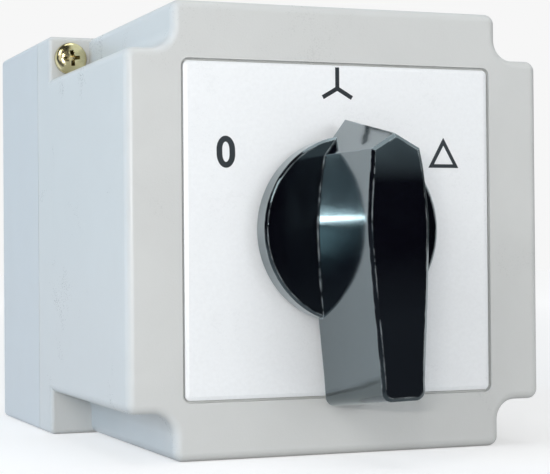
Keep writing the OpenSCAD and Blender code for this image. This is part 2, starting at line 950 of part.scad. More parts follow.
module handle() {
    color(handle_black)
    rotate([0, -handle_slack, 0])
    difference() {
        union() {
            hull() {
                layer(grip_foot, grip_foot + thin) grip_outline(1, 0);
                layer(grip_front - grip_bevel - thin, grip_front - grip_bevel)
                    grip_outline(0, 0);
                layer(grip_front - thin, grip_front) grip_outline(0, grip_bevel);
            }
            translate([0, -(front + disc_gap), 0])
                rotate([90, 0, 0])
                    rotate_extrude()
                        polygon([[0, 0], [disc_r - disc_chamfer, 0], [disc_r, disc_chamfer],
                                 [disc_r, disc_t - disc_chamfer],
                                 [disc_r - disc_chamfer, disc_t], [0, disc_t]]);
            bar(hub_r, front - front_wall - seal_t - hub_past_seal, front + disc_gap + overrun);
        }
        layer(flange_front, front + socket_past + play) square(socket_sq, center = true);
        slab(0, socket_sq / 2 + clip_pocket, front + clip_start - play,
             front + clip_start + clip_l + play, -clip_w / 2 - play, clip_w / 2 + play);
    }
}

// A bowed leaf between the handle's socket and the shaft
module handle_clip() {
    out = socket_sq / 2 + clip_pocket - running;
    middle = front + clip_start + clip_l / 2;
    edge = [for (i = [-8:8])
        [out - clip_t - clip_bow * cos(90 * i / 8), middle + clip_l / 2 * i / 8]];
    n = len(edge);
    color(bright_steel)
    rotate([0, -handle_slack, 0])
        translate([0, 0, -clip_w / 2])
            linear_extrude(height = clip_w)
                polygon(concat([for (p = edge) [p[0], -p[1]]],
                               [for (i = [1:n]) [edge[n - i][0] + clip_t, -edge[n - i][1]]]));
}

// One plunger of the upper row: round nose, guide body, groove and spring pocket
module plunger(k) {
    color(cam_white)
    in_stage(k)
    difference() {
        layer(bridge_back, plunger_front - 2 * play) {
            translate([0, pitch_r]) circle(r = nose_r);
            translate([-plunger_half, pitch_r])
                square([2 * plunger_half, plunger_end - pitch_r]);
        }
        slab(-2 * plunger_half, 2 * plunger_half, bridge_back - overrun, bridge_back + bridge_t,
             bridge_at - bridge_h / 2 - running, bridge_at + bridge_h / 2 + running);
        translate([0, -spring_line, spring_floor])
            cylinder(r = spring_hole_r, h = block_h);
    }
}

// The contact bridge in a plunger's groove, with a narrow tip at each end
module bridge(k) {
    color(contact_brass)
    in_stage(k)
    layer(bridge_back, bridge_back + bridge_t)
        translate([0, bridge_at]) {
            square([2 * bridge_body_half, bridge_h], center = true);
            square([2 * bridge_half, 2 * tip_half], center = true);
        }
}

module lower() {
    mirror([0, 0, 1]) children();
}

base_box();
cover();
cover_gasket();
cover_screws();
legend_plate();
shaft_seal();
rear_plate();
mounting_screws();
contact_block(1);  // contact_block_1
contact_block(2);  // contact_block_2
contact_block(3);  // contact_block_3
contact_block(4);  // contact_block_4
index_housing();
front_flange();
tie_bolts();
fixed_contacts(1);  // fixed_contacts_1
fixed_contacts(2);  // fixed_contacts_2
fixed_contacts(3);  // fixed_contacts_3
fixed_contacts(4);  // fixed_contacts_4
link_bars();
terminal_clamps();
terminal_screws();
earth_terminal();
earth_screw();
upper_index_spring();
lower_index_spring();
plunger_spring(1);  // upper_spring_1
plunger_spring(2);  // upper_spring_2
plunger_spring(3);  // upper_spring_3
plunger_spring(4);  // upper_spring_4
lower() plunger_spring(1);  // lower_spring_1
lower() plunger_spring(2);  // lower_spring_2
lower() plunger_spring(3);  // lower_spring_3
lower() plunger_spring(4);  // lower_spring_4
handle();
handle_clip();
shaft();
cam(1);  // cam_1
cam(2);  // cam_2
cam(3);  // cam_3
cam(4);  // cam_4
index_wheel();
stop_disc();
plunger(1);  // upper_plunger_1
plunger(2);  // upper_plunger_2
plunger(3);  // upper_plunger_3
plunger(4);  // upper_plunger_4
lower() plunger(1);  // lower_plunger_1
lower() plunger(2);  // lower_plunger_2
lower() plunger(3);  // lower_plunger_3
lower() plunger(4);  // lower_plunger_4
bridge(1);  // upper_bridge_1
bridge(2);  // upper_bridge_2
bridge(3);  // upper_bridge_3
bridge(4);  // upper_bridge_4
lower() bridge(1);  // lower_bridge_1
lower() bridge(2);  // lower_bridge_2
lower() bridge(3);  // lower_bridge_3
lower() bridge(4);  // lower_bridge_4
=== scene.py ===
"""Enclosed star-delta cam switch: the finished surfaces of the pieces that show."""

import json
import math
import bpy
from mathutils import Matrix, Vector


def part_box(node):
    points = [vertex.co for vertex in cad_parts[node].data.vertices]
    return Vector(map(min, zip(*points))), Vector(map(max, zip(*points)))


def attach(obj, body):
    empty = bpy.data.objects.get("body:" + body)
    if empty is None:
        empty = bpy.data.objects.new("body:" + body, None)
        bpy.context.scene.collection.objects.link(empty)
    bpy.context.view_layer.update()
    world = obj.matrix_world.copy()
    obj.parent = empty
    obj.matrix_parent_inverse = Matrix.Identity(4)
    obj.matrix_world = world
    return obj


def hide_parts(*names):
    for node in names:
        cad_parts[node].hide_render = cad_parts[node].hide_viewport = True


bl_info = {
    "name": "Star-Delta Cam Switch",
    "version": (1, 0, 0),
    "blender": (4, 5, 0),
    "location": "View3D > Sidebar > Cam Switch",
    "description": "Models and finishes an enclosed rotary cam switch for star-delta starting",
    "category": "Object",
}

import bmesh
import bpy
from bpy.props import FloatProperty, FloatVectorProperty, PointerProperty
from bpy.types import Operator, Panel, PropertyGroup
from mathutils import Matrix, Vector

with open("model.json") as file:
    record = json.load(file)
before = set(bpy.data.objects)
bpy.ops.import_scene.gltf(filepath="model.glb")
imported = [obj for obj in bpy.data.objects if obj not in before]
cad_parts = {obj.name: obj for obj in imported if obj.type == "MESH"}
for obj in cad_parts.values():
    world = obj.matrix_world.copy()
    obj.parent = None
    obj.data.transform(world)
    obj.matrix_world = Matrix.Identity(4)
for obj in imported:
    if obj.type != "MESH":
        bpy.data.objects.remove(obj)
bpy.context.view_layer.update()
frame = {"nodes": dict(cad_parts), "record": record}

MM = 0.001
TINY = 0.02 * MM
BASE_LOW, BASE_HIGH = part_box("base_box")
COVER_LOW, COVER_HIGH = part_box("cover")
PLATE_LOW, PLATE_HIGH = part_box("legend_plate")

# A cutting piece runs this far past a face, and a joined or a small cutting one this far
PAST = 1 * MM
OVERLAP = 0.5 * MM

# Points nearer than this are merged, and flatter edges than this angle are shaded smooth
MERGE = 0.002 * MM
SMOOTH_ANGLE = math.radians(38)

# Play round a cover screw in the cover, half of it in the base, and the rounding of the
# hollow's corners beside a notch
PLAY = 0.1 * MM
ROOM_RADIUS = 0.5 * MM

# Small roundings on the edges of the plate, the grip and the screws
PLATE_SOFTNESS, GRIP_SOFTNESS, SCREW_SOFTNESS = 0.06 * MM, 0.18 * MM, 0.1 * MM

# The middle of the cover, behind the plate
COVER_BOSS_RADIUS, COVER_BOSS_DEPTH = 11 * MM, 7.3 * MM
PASSAGE_RADIUS = 6.4 * MM
SEAL_SEAT_RADIUS = 8.5 * MM

# The base: the groove from the outer faces, bosses and holes from the middle, heights from
# the wall. The depths of the groove and of the cover screws' pilots start at the parting line
GROOVE_OUTER, GROOVE_INNER, GROOVE_DEPTH = 0.7 * MM, 1.9 * MM, 1.2 * MM
FIXING_X, FIXING_Z, FIXING_RADIUS = 28.5 * MM, 30 * MM, 2.25 * MM
BOSS_RADIUS = 4.5 * MM
PAD_HEIGHT = 4.5 * MM
SWITCH_BOSS_Z, SWITCH_BOSS_HEIGHT = 32.1 * MM, 12 * MM
SWITCH_PILOT_RADIUS, SWITCH_PILOT_BACK = 1.8 * MM, 5 * MM
EARTH_BOSS_X, EARTH_BOSS_HEIGHT, EARTH_PILOT_RADIUS = 34.5 * MM, 10 * MM, 2.05 * MM
SCREW_PILOT_DEPTH = 18 * MM
KNOCKOUT_X, KNOCKOUT_SKIN, KNOCKOUT_PAST = 15 * MM, 1.6 * MM, 0.6 * MM
KNOCKOUT_LINES, KNOCKOUT_LINE_RADIUS = (10.0 * MM, 7.8 * MM), 0.32 * MM
THINNING_RADIUS = 9.6 * MM

# The plate's rim, and the marks' places from its middle. A ray has an angle in degrees and
# a reach in mm. A triangle has a width, a height, a place and the height of its foot
RIM_DROP = 0.28 * MM
INK_SUNK = 0.02 * MM
ZERO_HALF = (1.86 * MM, 3.04 * MM)
ZERO_EYE_HALF = (0.72 * MM, 1.92 * MM)
ZERO_X, ZERO_Z, ZERO_TILT = -23.69 * MM, 14.88 * MM, math.radians(-1)
STAR_X, STAR_Z, STAR_HALF, STAR_FOOT = -0.66 * MM, 27.50 * MM, 0.42 * MM, 0.2 * MM
STAR_RAYS = ((0, 4.1), (120, 3.55), (240, 3.55))
DELTA = (6.62 * MM, 6.0 * MM, 22.15 * MM, 12.33 * MM)
DELTA_EYE = (4.2 * MM, 3.7 * MM, 22.17 * MM, 13.05 * MM)
OVAL_STRAIGHT = 0.35

# The grip's outline in mm, from the solid's own curves. A share is of the half width, and
# a pair has its value at the front face and at the foot
GRIP_HALF, GRIP_FLARE, BELLY_HEIGHT = 6.1, 1.3, 1.0
SHOULDER_SHARE, SHOULDER_HEIGHT = (0.78, 0.735), 14.3
UPPER_BEND_SHARE, UPPER_BEND_HEIGHT = 0.925, 8.0
LOWER_BEND_SHARE, LOWER_BEND_HEIGHT = (0.90, 1.025), -12.0
TAIL_SHARE, TAIL_HEIGHT = (0.70, 0.78), -27.8

# Heights where the grip's sides are shaped. The two further numbers ease its half width in
# from the curve, at the front face and at the foot
GRIP_LEVELS = (
    (14.3, 0, 0), (11.2, 0, 0), (8.0, 0, 0), (5.0, 0, 0), (2.8, 0, 0), (1.2, 0.03, 0.01),
    (-0.6, 0, 0.02), (-4.0, 0, 0.03), (-8.0, 0, 0.02), (-12.0, 0, 0), (-27.8, 0, 0),
    (-31.2, 0, 0),
)

# The grip starts as a block of this half width. Its apex leans back this many times as far
# as its shoulders, and a face that looks this much along Y is at the front or the back
GRIP_START = 5 * MM
APEX_LEAN = 1.6
FACING = 0.9

# The disc's bevel, and where the grip's foot stands on the disc
DISC_BEVEL = 0.5 * MM
FILLET_REACH, FILLET_INSET = 8 * MM, 1.2 * MM

# The hub, the socket and the clip's pocket, with depths from the cover's front
HUB_DEPTH = 6.5 * MM
SOCKET_HALF, SOCKET_BACK, SOCKET_FRONT = 3.1 * MM, 8 * MM, 17.1 * MM
CLIP_HALF, CLIP_DEPTH, CLIP_BACK, CLIP_FRONT = 2.1 * MM, 1.1 * MM, 4.4 * MM, 15.6 * MM

# The cover screws' heads
HEAD_EDGE = 0.45
DOME_ANGLE, DOME_STEPS = math.radians(76), 6
SHANK_LENGTH, SHANK_OVERLAP = 27 * MM, 0.3 * MM
SLOT_HALF_LENGTH, SLOT_HALF_WIDTH = 2.15 * MM, 0.46 * MM
RECESS_DEPTH, RECESS_FLOOR = 1.5 * MM, 1.4 * MM
CORE_HALF = 0.85 * MM
SLOT_TAPER, CORE_TAPER = (0.42, 0.7), (0.3, 0.3)
RECESS_DEGREES = -6
TWIN_TURN = math.radians(46)

# The lamps: name, place, width and height, power, tint. Reflections leave the soft ones out
LAMPS = (
    ("key", (-0.46, -0.44, 0.38), (0.26, 0.26), 0.7, (1.0, 1.0, 0.98)),
    ("wide_left", (-0.50, -0.58, 0.16), (0.3, 0.4), 0.30, (1.0, 0.97, 0.98)),
    ("tall_strip", (-0.21, -0.60, 0.10), (0.02, 0.28), 0.35, (1.0, 0.97, 0.95)),
    ("soft_left_fill", (-0.95, -0.10, 0.15), (0.16, 0.9), 4.1, (0.40, 0.67, 0.97)),
    ("soft_front_fill", (0.30, -0.88, 0.12), (0.4, 0.3), 1.08, (0.96, 0.98, 1.0)),
    ("flash", (-0.162, -0.412, 0.019), (0.05, 0.008), 0.19, (1.0, 0.95, 0.92)),
    ("flash_shade", (-0.165, -0.42, 0.046), (0.10, 0.045), 0.016, (0.85, 0.95, 1.0)),
    ("low_glow", (-0.159, -0.415, -0.013), (0.05, 0.02), 0.013, (0.7, 0.95, 1.0)),
    ("top", (0.0, -0.10, 0.95), (0.5, 0.5), 1.5, (1.0, 1.0, 1.0)),
)
LAMP_AIM = (0, -0.07, 0)

DUST_TONE = (0.62, 0.60, 0.56, 1.0)


def length(label, tip, value, **extra):
    """A size in metres that a user would change."""
    return FloatProperty(name=label, description=tip, default=value, subtype="DISTANCE",
                         unit="LENGTH", precision=4, **extra)


def share(label, tip, value):
    """A part of the whole, from 0 to 1."""
    return FloatProperty(name=label, description=tip, default=value, min=0, max=1,
                         subtype="FACTOR")


def colour(label, tip, value):
    """A colour as linear red, green and blue."""
    return FloatVectorProperty(name=label, description=tip, default=value, min=0, max=1,
                               size=3, subtype="COLOR")


class SwitchHousing(PropertyGroup):
    """Sizes of the base, the cover and the cover screws"""
    width: length("Width", "Width and height of the enclosure", BASE_HIGH.x - BASE_LOW.x)
    parting: length("Parting Depth", "Depth of the parting line from the wall", -COVER_HIGH.y)
    front: length("Front Depth", "Depth of the front face from the wall", -COVER_LOW.y)
    seat: length("Screw Seat Depth", "Depth of the notch floors from the wall", 47.6 * MM)
    notch: length("Notch", "Width of the corner notches", 9.2 * MM)
    wall: length("Wall", "Side walls of base and cover", 2.6 * MM)
    face_wall: length("Face Wall", "Front wall of the cover and back wall of the base", 3 * MM)
    body_radius: length("Body Radius", "Corner radius of base and flange", 1.2 * MM)
    flange_radius: length("Flange Radius", "Rounding of the flange's front edges", 1 * MM)
    arm_radius: length("Arm Radius", "Outer corners beside a notch", 2 * MM)
    notch_radius: length("Notch Radius", "Inner corner of a notch", 4 * MM)
    front_radius: length("Front Radius", "Rounding of the front edges", 1.8 * MM)
    seam: length("Seam", "Step at the parting line", 0.4 * MM)
    softness: length("Edge Softness", "Small rounding on every moulded edge", 0.25 * MM)
    head_radius: length("Screw Head Radius", "Radius of the cover screw heads", 3.5 * MM)
    head_height: length("Screw Head Height", "Height of the cover screw heads", 2.4 * MM)
    thread_radius: length("Screw Thread Radius", "Radius of the cover screws", 1.75 * MM)
    screw_in: length("Screw Inset", "Distance of the cover screws from the outer faces",
                     4.876 * MM)


class SwitchLegend(PropertyGroup):
    """Sizes of the legend plate and its marks"""
    size: length("Plate Size", "Side of the square legend plate", PLATE_HIGH.x - PLATE_LOW.x)
    thickness: length("Plate Thickness", "Thickness of the legend plate",
                      PLATE_HIGH.y - PLATE_LOW.y)
    radius: length("Plate Radius", "Corner radius of the legend plate", 1 * MM)
    bevel: length("Plate Bevel", "Width of the sloped rim of the legend plate", 0.75 * MM)
    hole_radius: length("Plate Hole", "Radius of the hole round the hub", 6.6 * MM)
    gap: length("Plate Gap", "Gap round the plate in its recess", 0.5 * MM)
    ink: length("Ink Height", "Height of the printed marks", 0.03 * MM)


class SwitchHandle(PropertyGroup):
    """Sizes of the lever handle"""
    disc_radius: length("Disc Radius", "Radius of the disc", 18.0 * MM)
    disc_back: length("Disc Back", "Gap between the disc and the legend plate", 0.8 * MM)
    disc_thickness: length("Disc Thickness", "Thickness of the disc", 4.9 * MM)
    reach: length("Reach", "Reach of the grip in front of the enclosure", 26.5 * MM)
    tip_height: length("Tip Height", "Height of the pointer tip at the front", 17 * MM)
    tip_run: length("Tip Run", "Rise of the pointer tip from front to foot", 4.2 * MM)
    tail_run: length("Tail Run", "Drop of the tail from front to foot", 2.5 * MM)
    grip_gap: length("Grip Gap", "Gap between the grip's foot and the legend plate", 3.4 * MM)
    tail_radius: length("Tail Radius", "Corner radius of the tail", 1.9 * MM)
    bevel: length("Front Bevel", "Width of the bevel round the grip's front", 0.6 * MM)
    lean: length("Tip Lean", "How far the front face leans back at the shoulders", 0.35 * MM)
    fillet: length("Fillet", "Rounding where the grip stands on the disc", 0.3 * MM)
    hub_radius: length("Hub Radius", "Radius of the hub behind the disc", 6 * MM)
    slack: FloatProperty(name="Slack", description="Angle by which the handle hangs off its mark",
                         default=math.radians(1.4), subtype="ANGLE", unit="ROTATION")


class SwitchFinish(PropertyGroup):
    """Colours and surface values of the finishes"""
    shell: colour("Cover Grey", "Light grey of the cover", (0.640, 0.652, 0.640))
    base: colour("Base Grey", "Light grey of the base box", (0.645, 0.665, 0.668))
    plate: colour("Plate White", "White of the legend plate", (0.912, 0.935, 0.950))
    ink: colour("Ink", "Dark grey of the printed marks", (0.028, 0.036, 0.042))
    handle: colour("Handle Black", "Black of the lever handle", (0.0022, 0.0018, 0.0040))
    moulding: colour("Moulding Black", "Black of the contact blocks", (0.030, 0.030, 0.032))
    cam: colour("Cam White", "Natural white of cams and plungers", (0.75, 0.73, 0.66))
    passivated: colour("Passivated Yellow", "Yellow zinc of the cover screws", (0.62, 0.50, 0.23))
    steel: colour("Plated Steel", "Bright zinc of screws and shaft", (0.62, 0.63, 0.64))
    spring: colour("Spring Steel", "Drawn steel of the springs", (0.48, 0.49, 0.50))
    brass: colour("Contact Brass", "Brass of the contacts and links", (0.72, 0.52, 0.22))
    rubber: colour("Seal Rubber", "Black of the seals", (0.020, 0.020, 0.020))
    grain: length("Grain", "Distance between the moulded grain's dimples", 0.35 * MM)
    wear: share("Wear", "How much the edges are rubbed", 0.25)
    dust: share("Dust", "How much dust lies on upward faces", 0.15)


class SwitchStage(PropertyGroup):
    """Camera, floor and lamps"""
    lens: FloatProperty(name="Lens", description="Focal length on a 36 mm wide sensor",
                        default=110.36, min=10, unit="CAMERA")
    camera_place: FloatVectorProperty(name="Camera Place", description="Where the camera stands",
                                      default=(-0.129608, -0.408595, -0.004824), size=3,
                                      subtype="TRANSLATION", unit="LENGTH", precision=5)
    yaw: FloatProperty(name="Yaw", description="Turn of the camera about the vertical",
                       default=math.radians(-21.040), subtype="ANGLE", unit="ROTATION")
    pitch: FloatProperty(name="Pitch", description="Tilt of the camera above the horizon",
                         default=math.radians(0.627), subtype="ANGLE", unit="ROTATION")
    roll: FloatProperty(name="Roll", description="Roll of the camera about its view",
                        default=math.radians(0.458), subtype="ANGLE", unit="ROTATION")
    floor_size: length("Floor Size", "Side of the floor", 6.0)
    ambient: share("Ambient", "Strength of the room's even light", 0.44)


GROUPS = {
    "switch_housing": SwitchHousing, "switch_legend": SwitchLegend,
    "switch_handle": SwitchHandle, "switch_finish": SwitchFinish,
    "switch_stage": SwitchStage,
}


# Modelling moves

def put_down():
    """Leaves edit mode with nothing selected."""
    if bpy.context.object is not None and bpy.context.object.mode != "OBJECT":
        bpy.ops.object.mode_set(mode="OBJECT")
    bpy.ops.object.select_all(action="DESELECT")


def pick_up(obj):
    """Makes this the one selected object."""
    put_down()
    obj.select_set(True)
    bpy.context.view_layer.objects.active = obj
    return obj


def settle(name):
    """Names the new object and moves its place into its mesh."""
    obj = bpy.context.object
    obj.name = obj.data.name = name
    bpy.ops.object.transform_apply(location=True, rotation=True, scale=True)
    return obj


def block(name, low, high):
    """A square block between two corners."""
    put_down()
    middle = [(a + b) / 2 for a, b in zip(low, high)]
    size = [b - a for a, b in zip(low, high)]
    bpy.ops.mesh.primitive_cube_add(size=1, location=middle, scale=size)
    return settle(name)


def bar(name, radius, back, front, x=0.0, z=0.0, sides=96):
    """A round bar along Y between two depths from the wall."""
    put_down()
    bpy.ops.mesh.primitive_cylinder_add(vertices=sides, radius=radius, depth=front - back,
                                        location=(x, -(back + front) / 2, z),
                                        rotation=(math.pi / 2, 0, 0))
    return settle(name)


def upright(name, radius, low, high, x, y, sides=96):
    """A round bar along Z."""
    put_down()
    bpy.ops.mesh.primitive_cylinder_add(vertices=sides, radius=radius, depth=high - low,
                                        location=(x, y, (low + high) / 2))
    return settle(name)


def pick(obj, kind, test):
    """Selects in edit mode each part whose corners pass the test."""
    if bpy.context.object is not obj or obj.mode != "EDIT":
        pick_up(obj)
        bpy.ops.object.mode_set(mode="EDIT")
    bpy.ops.mesh.select_mode(type=kind)
    bpy.ops.mesh.select_all(action="DESELECT")
    mesh = bmesh.from_edit_mesh(obj.data)
    parts = {"VERT": mesh.verts, "EDGE": mesh.edges, "FACE": mesh.faces}[kind]
    for part in parts:
        if kind == "VERT":
            places = [part.co]
        elif kind == "FACE":
            places = [part.calc_center_median()]
        else:
            places = [v.co for v in part.verts]
        if all(test(place) for place in places):
            part.select_set(True)
    bmesh.update_edit_mesh(obj.data)


def keep_edges(obj, test):
    """Drops from the selection each edge that fails the test."""
    mesh = bmesh.from_edit_mesh(obj.data)
    for edge in mesh.edges:
        if edge.select and not test(edge):
            edge.select_set(False)
    bmesh.update_edit_mesh(obj.data)


def runs_along_y(edge):
    """Whether an edge runs from back to front."""
    return abs(edge.verts[0].co.y - edge.verts[1].co.y) >= TINY


def pick_along_y(obj, test):
    """Selects the edges that run from back to front where the test passes."""
    pick(obj, "EDGE", test)
    keep_edges(obj, runs_along_y)


def shift(x=0.0, y=0.0, z=0.0):
    """Moves what is selected."""
    bpy.ops.transform.translate(value=(x, y, z))


def stretch(x, z, centre):
    """Scales what is selected, and leaves its depth."""
    bpy.ops.transform.resize(value=(x, 1, z), center_override=centre)


def round_off(offset, segments, affect="EDGES"):
    """Rounds the selected edges or corners, or bevels them flat with one segment."""
    bpy.ops.mesh.bevel(offset=offset, segments=segments, profile=0.5, affect=affect,
                       clamp_overlap=False)


def combine(obj, tool, operation="DIFFERENCE"):
    """Cuts the tool out of the piece, or joins it on, and throws the tool away."""
    pick_up(obj)
    step = obj.modifiers.new("combine", "BOOLEAN")
    step.operation = operation
    step.solver = "EXACT"
    step.object = tool
    bpy.ops.object.modifier_apply(modifier=step.name)
    bpy.data.objects.remove(tool, do_unlink=True)


def screw_places(s):
    """The two opposite corners that hold a cover screw."""
    at = s.width / 2 - s.screw_in
    return [(-at, at), (at, -at)]


def mirrored_places(x, z):
    """One place in each quarter of the enclosure."""
    return [(sx * x, sz * z) for sx in (-1, 1) for sz in (-1, 1)]


def tidy_edges(obj, width, segments=3, angle=32):
    """Rounds the piece's sharp edges a little and shades it smooth between them."""
    pick(obj, "VERT", lambda c: True)
    bpy.ops.mesh.remove_doubles(threshold=MERGE)
    bpy.ops.mesh.normals_make_consistent(inside=False)
    pick_up(obj)
    if width > 0:
        step = obj.modifiers.new("soft edges", "BEVEL")
        step.width = width
        step.segments = segments
        step.limit_method = "ANGLE"
        step.angle_limit = math.radians(angle)
        step.use_clamp_overlap = True
        bpy.ops.object.modifier_apply(modifier=step.name)
    bpy.ops.object.shade_smooth_by_angle(angle=SMOOTH_ANGLE)
    step = obj.modifiers.new("even shading", "WEIGHTED_NORMAL")
    step.keep_sharp = True
    bpy.ops.object.modifier_apply(modifier=step.name)
    put_down()


def panel(name, width, height, radius, back, front, segments=10):
    """A plate with rounded corners between two depths from the wall."""
    obj = block(name, (-width / 2, -front, -height / 2), (width / 2, -back, height / 2))
    pick_along_y(obj, lambda c: True)
    round_off(radius, segments)
    put_down()
    return obj


def notched_body(name, half, arm, arm_radius, notch_radius, back, front):
    """A square body with its four corners notched, between two depths."""
    put_down()
    bpy.ops.mesh.primitive_plane_add(size=2 * half, location=(0, -back, 0),
                                     rotation=(math.pi / 2, 0, 0))
    obj = settle(name)
    bpy.ops.object.mode_set(mode="EDIT")
    for normal in ((1, 0, 0), (0, 0, 1)):
        for side in (-arm, arm):
            bpy.ops.mesh.select_all(action="SELECT")
            bpy.ops.mesh.bisect(plane_co=[side * n for n in normal], plane_no=normal)
    near = arm - TINY
    pick(obj, "FACE", lambda c: abs(c.x) > near and abs(c.z) > near)
    bpy.ops.mesh.delete(type="FACE")
    bpy.ops.mesh.select_all(action="SELECT")
    bpy.ops.mesh.dissolve_faces()
    pick(obj, "VERT", lambda c: max(abs(c.x), abs(c.z)) > half - TINY)
    round_off(arm_radius, 10, "VERTICES")
    pick(obj, "VERT", lambda c: max(abs(c.x), abs(c.z)) < arm + TINY)
    round_off(notch_radius, 12, "VERTICES")
    bpy.ops.mesh.select_all(action="SELECT")
    bpy.ops.mesh.extrude_region_move(TRANSFORM_OT_translate={"value": (0, back - front, 0)})
    bpy.ops.mesh.select_all(action="SELECT")
    bpy.ops.mesh.normals_make_consistent(inside=False)
    put_down()
    return obj


def turn(obj, angle, centre=(0, 0, 0)):
    """Turns a piece about a line along Y, clockwise seen from the front."""
    pick_up(obj)
    place = Matrix.Translation(centre)
    obj.matrix_world = place @ Matrix.Rotation(angle, 4, "Y") @ place.inverted()
    bpy.ops.object.transform_apply(location=True, rotation=True, scale=True)
    put_down()


# Pieces

def make_cover(s, legend):
    """The notched shell, its flange and lip, and the recess for the plate."""
    half = s.width / 2
    arm = half - s.notch
    cover = notched_body("cover_shell", half, arm, s.arm_radius, s.notch_radius,
                         s.seat - s.flange_radius - OVERLAP, s.front)
    pick(cover, "EDGE", lambda c: c.y < -s.front + TINY)
    round_off(s.front_radius, 8)
    put_down()
    flange = panel("flange", s.width, s.width, s.body_radius, s.parting + s.seam, s.seat)
    pick(flange, "EDGE", lambda c: c.y < -s.seat + TINY)
    round_off(s.flange_radius, 5)
    put_down()
    combine(cover, flange, "UNION")
    lip = panel("lip", s.width - 2 * s.seam, s.width - 2 * s.seam, s.body_radius - s.seam,
                s.parting, s.parting + 2 * s.seam)
    combine(cover, lip, "UNION")
    room = notched_body("room", half - s.wall, arm - s.wall, ROOM_RADIUS,
                        s.notch_radius + s.wall, s.parting - PAST, s.front - s.face_wall)
    combine(room, bar("boss", COVER_BOSS_RADIUS, s.front - COVER_BOSS_DEPTH, s.front))
    combine(cover, room)
    recess = legend.size + 2 * legend.gap
    combine(cover, panel("recess", recess, recess, legend.radius + legend.gap,
                         s.front - legend.thickness, s.front + PAST))
    combine(cover, bar("passage", PASSAGE_RADIUS, s.parting, s.front + PAST))
    combine(cover, bar("seal_seat", SEAL_SEAT_RADIUS, s.parting, s.front - s.face_wall))
    for x, z in screw_places(s):
        combine(cover, bar("hole", s.thread_radius + PLAY, s.parting - PAST,
                           s.seat + PAST, x, z, 48))
    tidy_edges(cover, s.softness)
    return cover


def make_base(s):
    """The box on the wall, with its seal groove, bosses, holes and knockouts."""
    half = s.width / 2
    arm = half - s.notch
    base = panel("base_shell", s.width, s.width, s.body_radius, 0, s.parting)
    sunk = s.face_wall - OVERLAP
    combine(base, notched_body("room", half - s.wall, arm - s.wall, ROOM_RADIUS,
                               s.notch_radius + s.wall, s.face_wall, s.parting + PAST))
    groove = notched_body("groove", half - GROOVE_OUTER, arm - GROOVE_OUTER,
                          s.arm_radius - GROOVE_OUTER, s.notch_radius + GROOVE_OUTER,
                          s.parting - GROOVE_DEPTH, s.parting + PAST)
    combine(groove, notched_body("tongue", half - GROOVE_INNER, arm - GROOVE_INNER,
                                 ROOM_RADIUS, s.notch_radius + GROOVE_INNER,
                                 s.parting - 2 * PAST, s.parting + 2 * PAST))
    combine(base, groove)
    for x, z in mirrored_places(FIXING_X, FIXING_Z):
        combine(base, bar("pad", BOSS_RADIUS, sunk, PAD_HEIGHT, x, z, 64), "UNION")
        combine(base, bar("fixing", FIXING_RADIUS, -PAST, PAD_HEIGHT + 1.5 * PAST, x, z, 48))
    for z in (-SWITCH_BOSS_Z, SWITCH_BOSS_Z):
        combine(base, bar("boss", BOSS_RADIUS, sunk, SWITCH_BOSS_HEIGHT, 0, z, 64), "UNION")
        combine(base, bar("pilot", SWITCH_PILOT_RADIUS, SWITCH_PILOT_BACK,
                          SWITCH_BOSS_HEIGHT + PAST, 0, z, 48))
    combine(base, bar("boss", BOSS_RADIUS, sunk, EARTH_BOSS_HEIGHT, EARTH_BOSS_X, 0, 64),
            "UNION")
    combine(base, bar("pilot", EARTH_PILOT_RADIUS, s.face_wall, EARTH_BOSS_HEIGHT + PAST,
                      EARTH_BOSS_X, 0, 48))
    for x, z in screw_places(s):
        combine(base, bar("pilot", s.thread_radius + PLAY / 2, s.parting - SCREW_PILOT_DEPTH,
                          s.parting + PAST, x, z, 48))
    for x, z in mirrored_places(KNOCKOUT_X, half):
        side = 1 if z > 0 else -1
        for radius in KNOCKOUT_LINES:
            put_down()
            bpy.ops.mesh.primitive_torus_add(major_radius=radius,
                                             minor_radius=KNOCKOUT_LINE_RADIUS,
                                             major_segments=96, minor_segments=8,
                                             location=(x, -s.parting / 2, z))
            combine(base, settle("knockout_line"))
        low, high = sorted((side * (half - KNOCKOUT_SKIN),
                            side * (half - s.wall - KNOCKOUT_PAST)))
        combine(base, upright("thinning", THINNING_RADIUS, low, high, x, -s.parting / 2))
    tidy_edges(base, s.softness)
    return base


def make_plate(s, front):
    """The legend plate with a sloped rim and the hub's hole."""
    plate = panel("legend_plate_face", s.size, s.size, s.radius, front - s.thickness, front)
    pick(plate, "EDGE", lambda c: c.y < -front + TINY)
    round_off(s.bevel, 1)
    pick(plate, "VERT", lambda c: -front + TINY < c.y < -front + s.bevel + TINY)
    shift(y=-(s.bevel - RIM_DROP))
    put_down()
    combine(plate, bar("hub_hole", s.hole_radius, front - 3 * PAST, front + PAST))
    tidy_edges(plate, PLATE_SOFTNESS, segments=2, angle=12)
    return plate


def make_marks(s, front):
    """The printed 0, star and delta, as thin raised ink."""
    back, top = front - INK_SUNK, front + s.ink
    marks = oval("legend_marks", *ZERO_HALF, back, top)
    combine(marks, oval("zero_eye", *ZERO_EYE_HALF, back - PAST, top + PAST))
    turn(marks, ZERO_TILT)
    pick(marks, "VERT", lambda c: True)
    shift(ZERO_X, 0, ZERO_Z)
    put_down()
    for angle, reach in STAR_RAYS:
        ray = block("ray", (STAR_X - STAR_HALF, -top, STAR_Z - STAR_FOOT),
                    (STAR_X + STAR_HALF, -back, STAR_Z + reach * MM))
        turn(ray, math.radians(angle), (STAR_X, 0, STAR_Z))
        if angle == 0:
            rays = ray
        else:
            combine(rays, ray, "UNION")
    delta = triangle("delta", *DELTA, back, top)
    combine(delta, triangle("eye", *DELTA_EYE, back - PAST, top + PAST))
    pick_up(marks)
    for part in (rays, delta):
        part.select_set(True)
    bpy.ops.object.join()
    put_down()
    tidy_edges(marks, 0)
    return marks


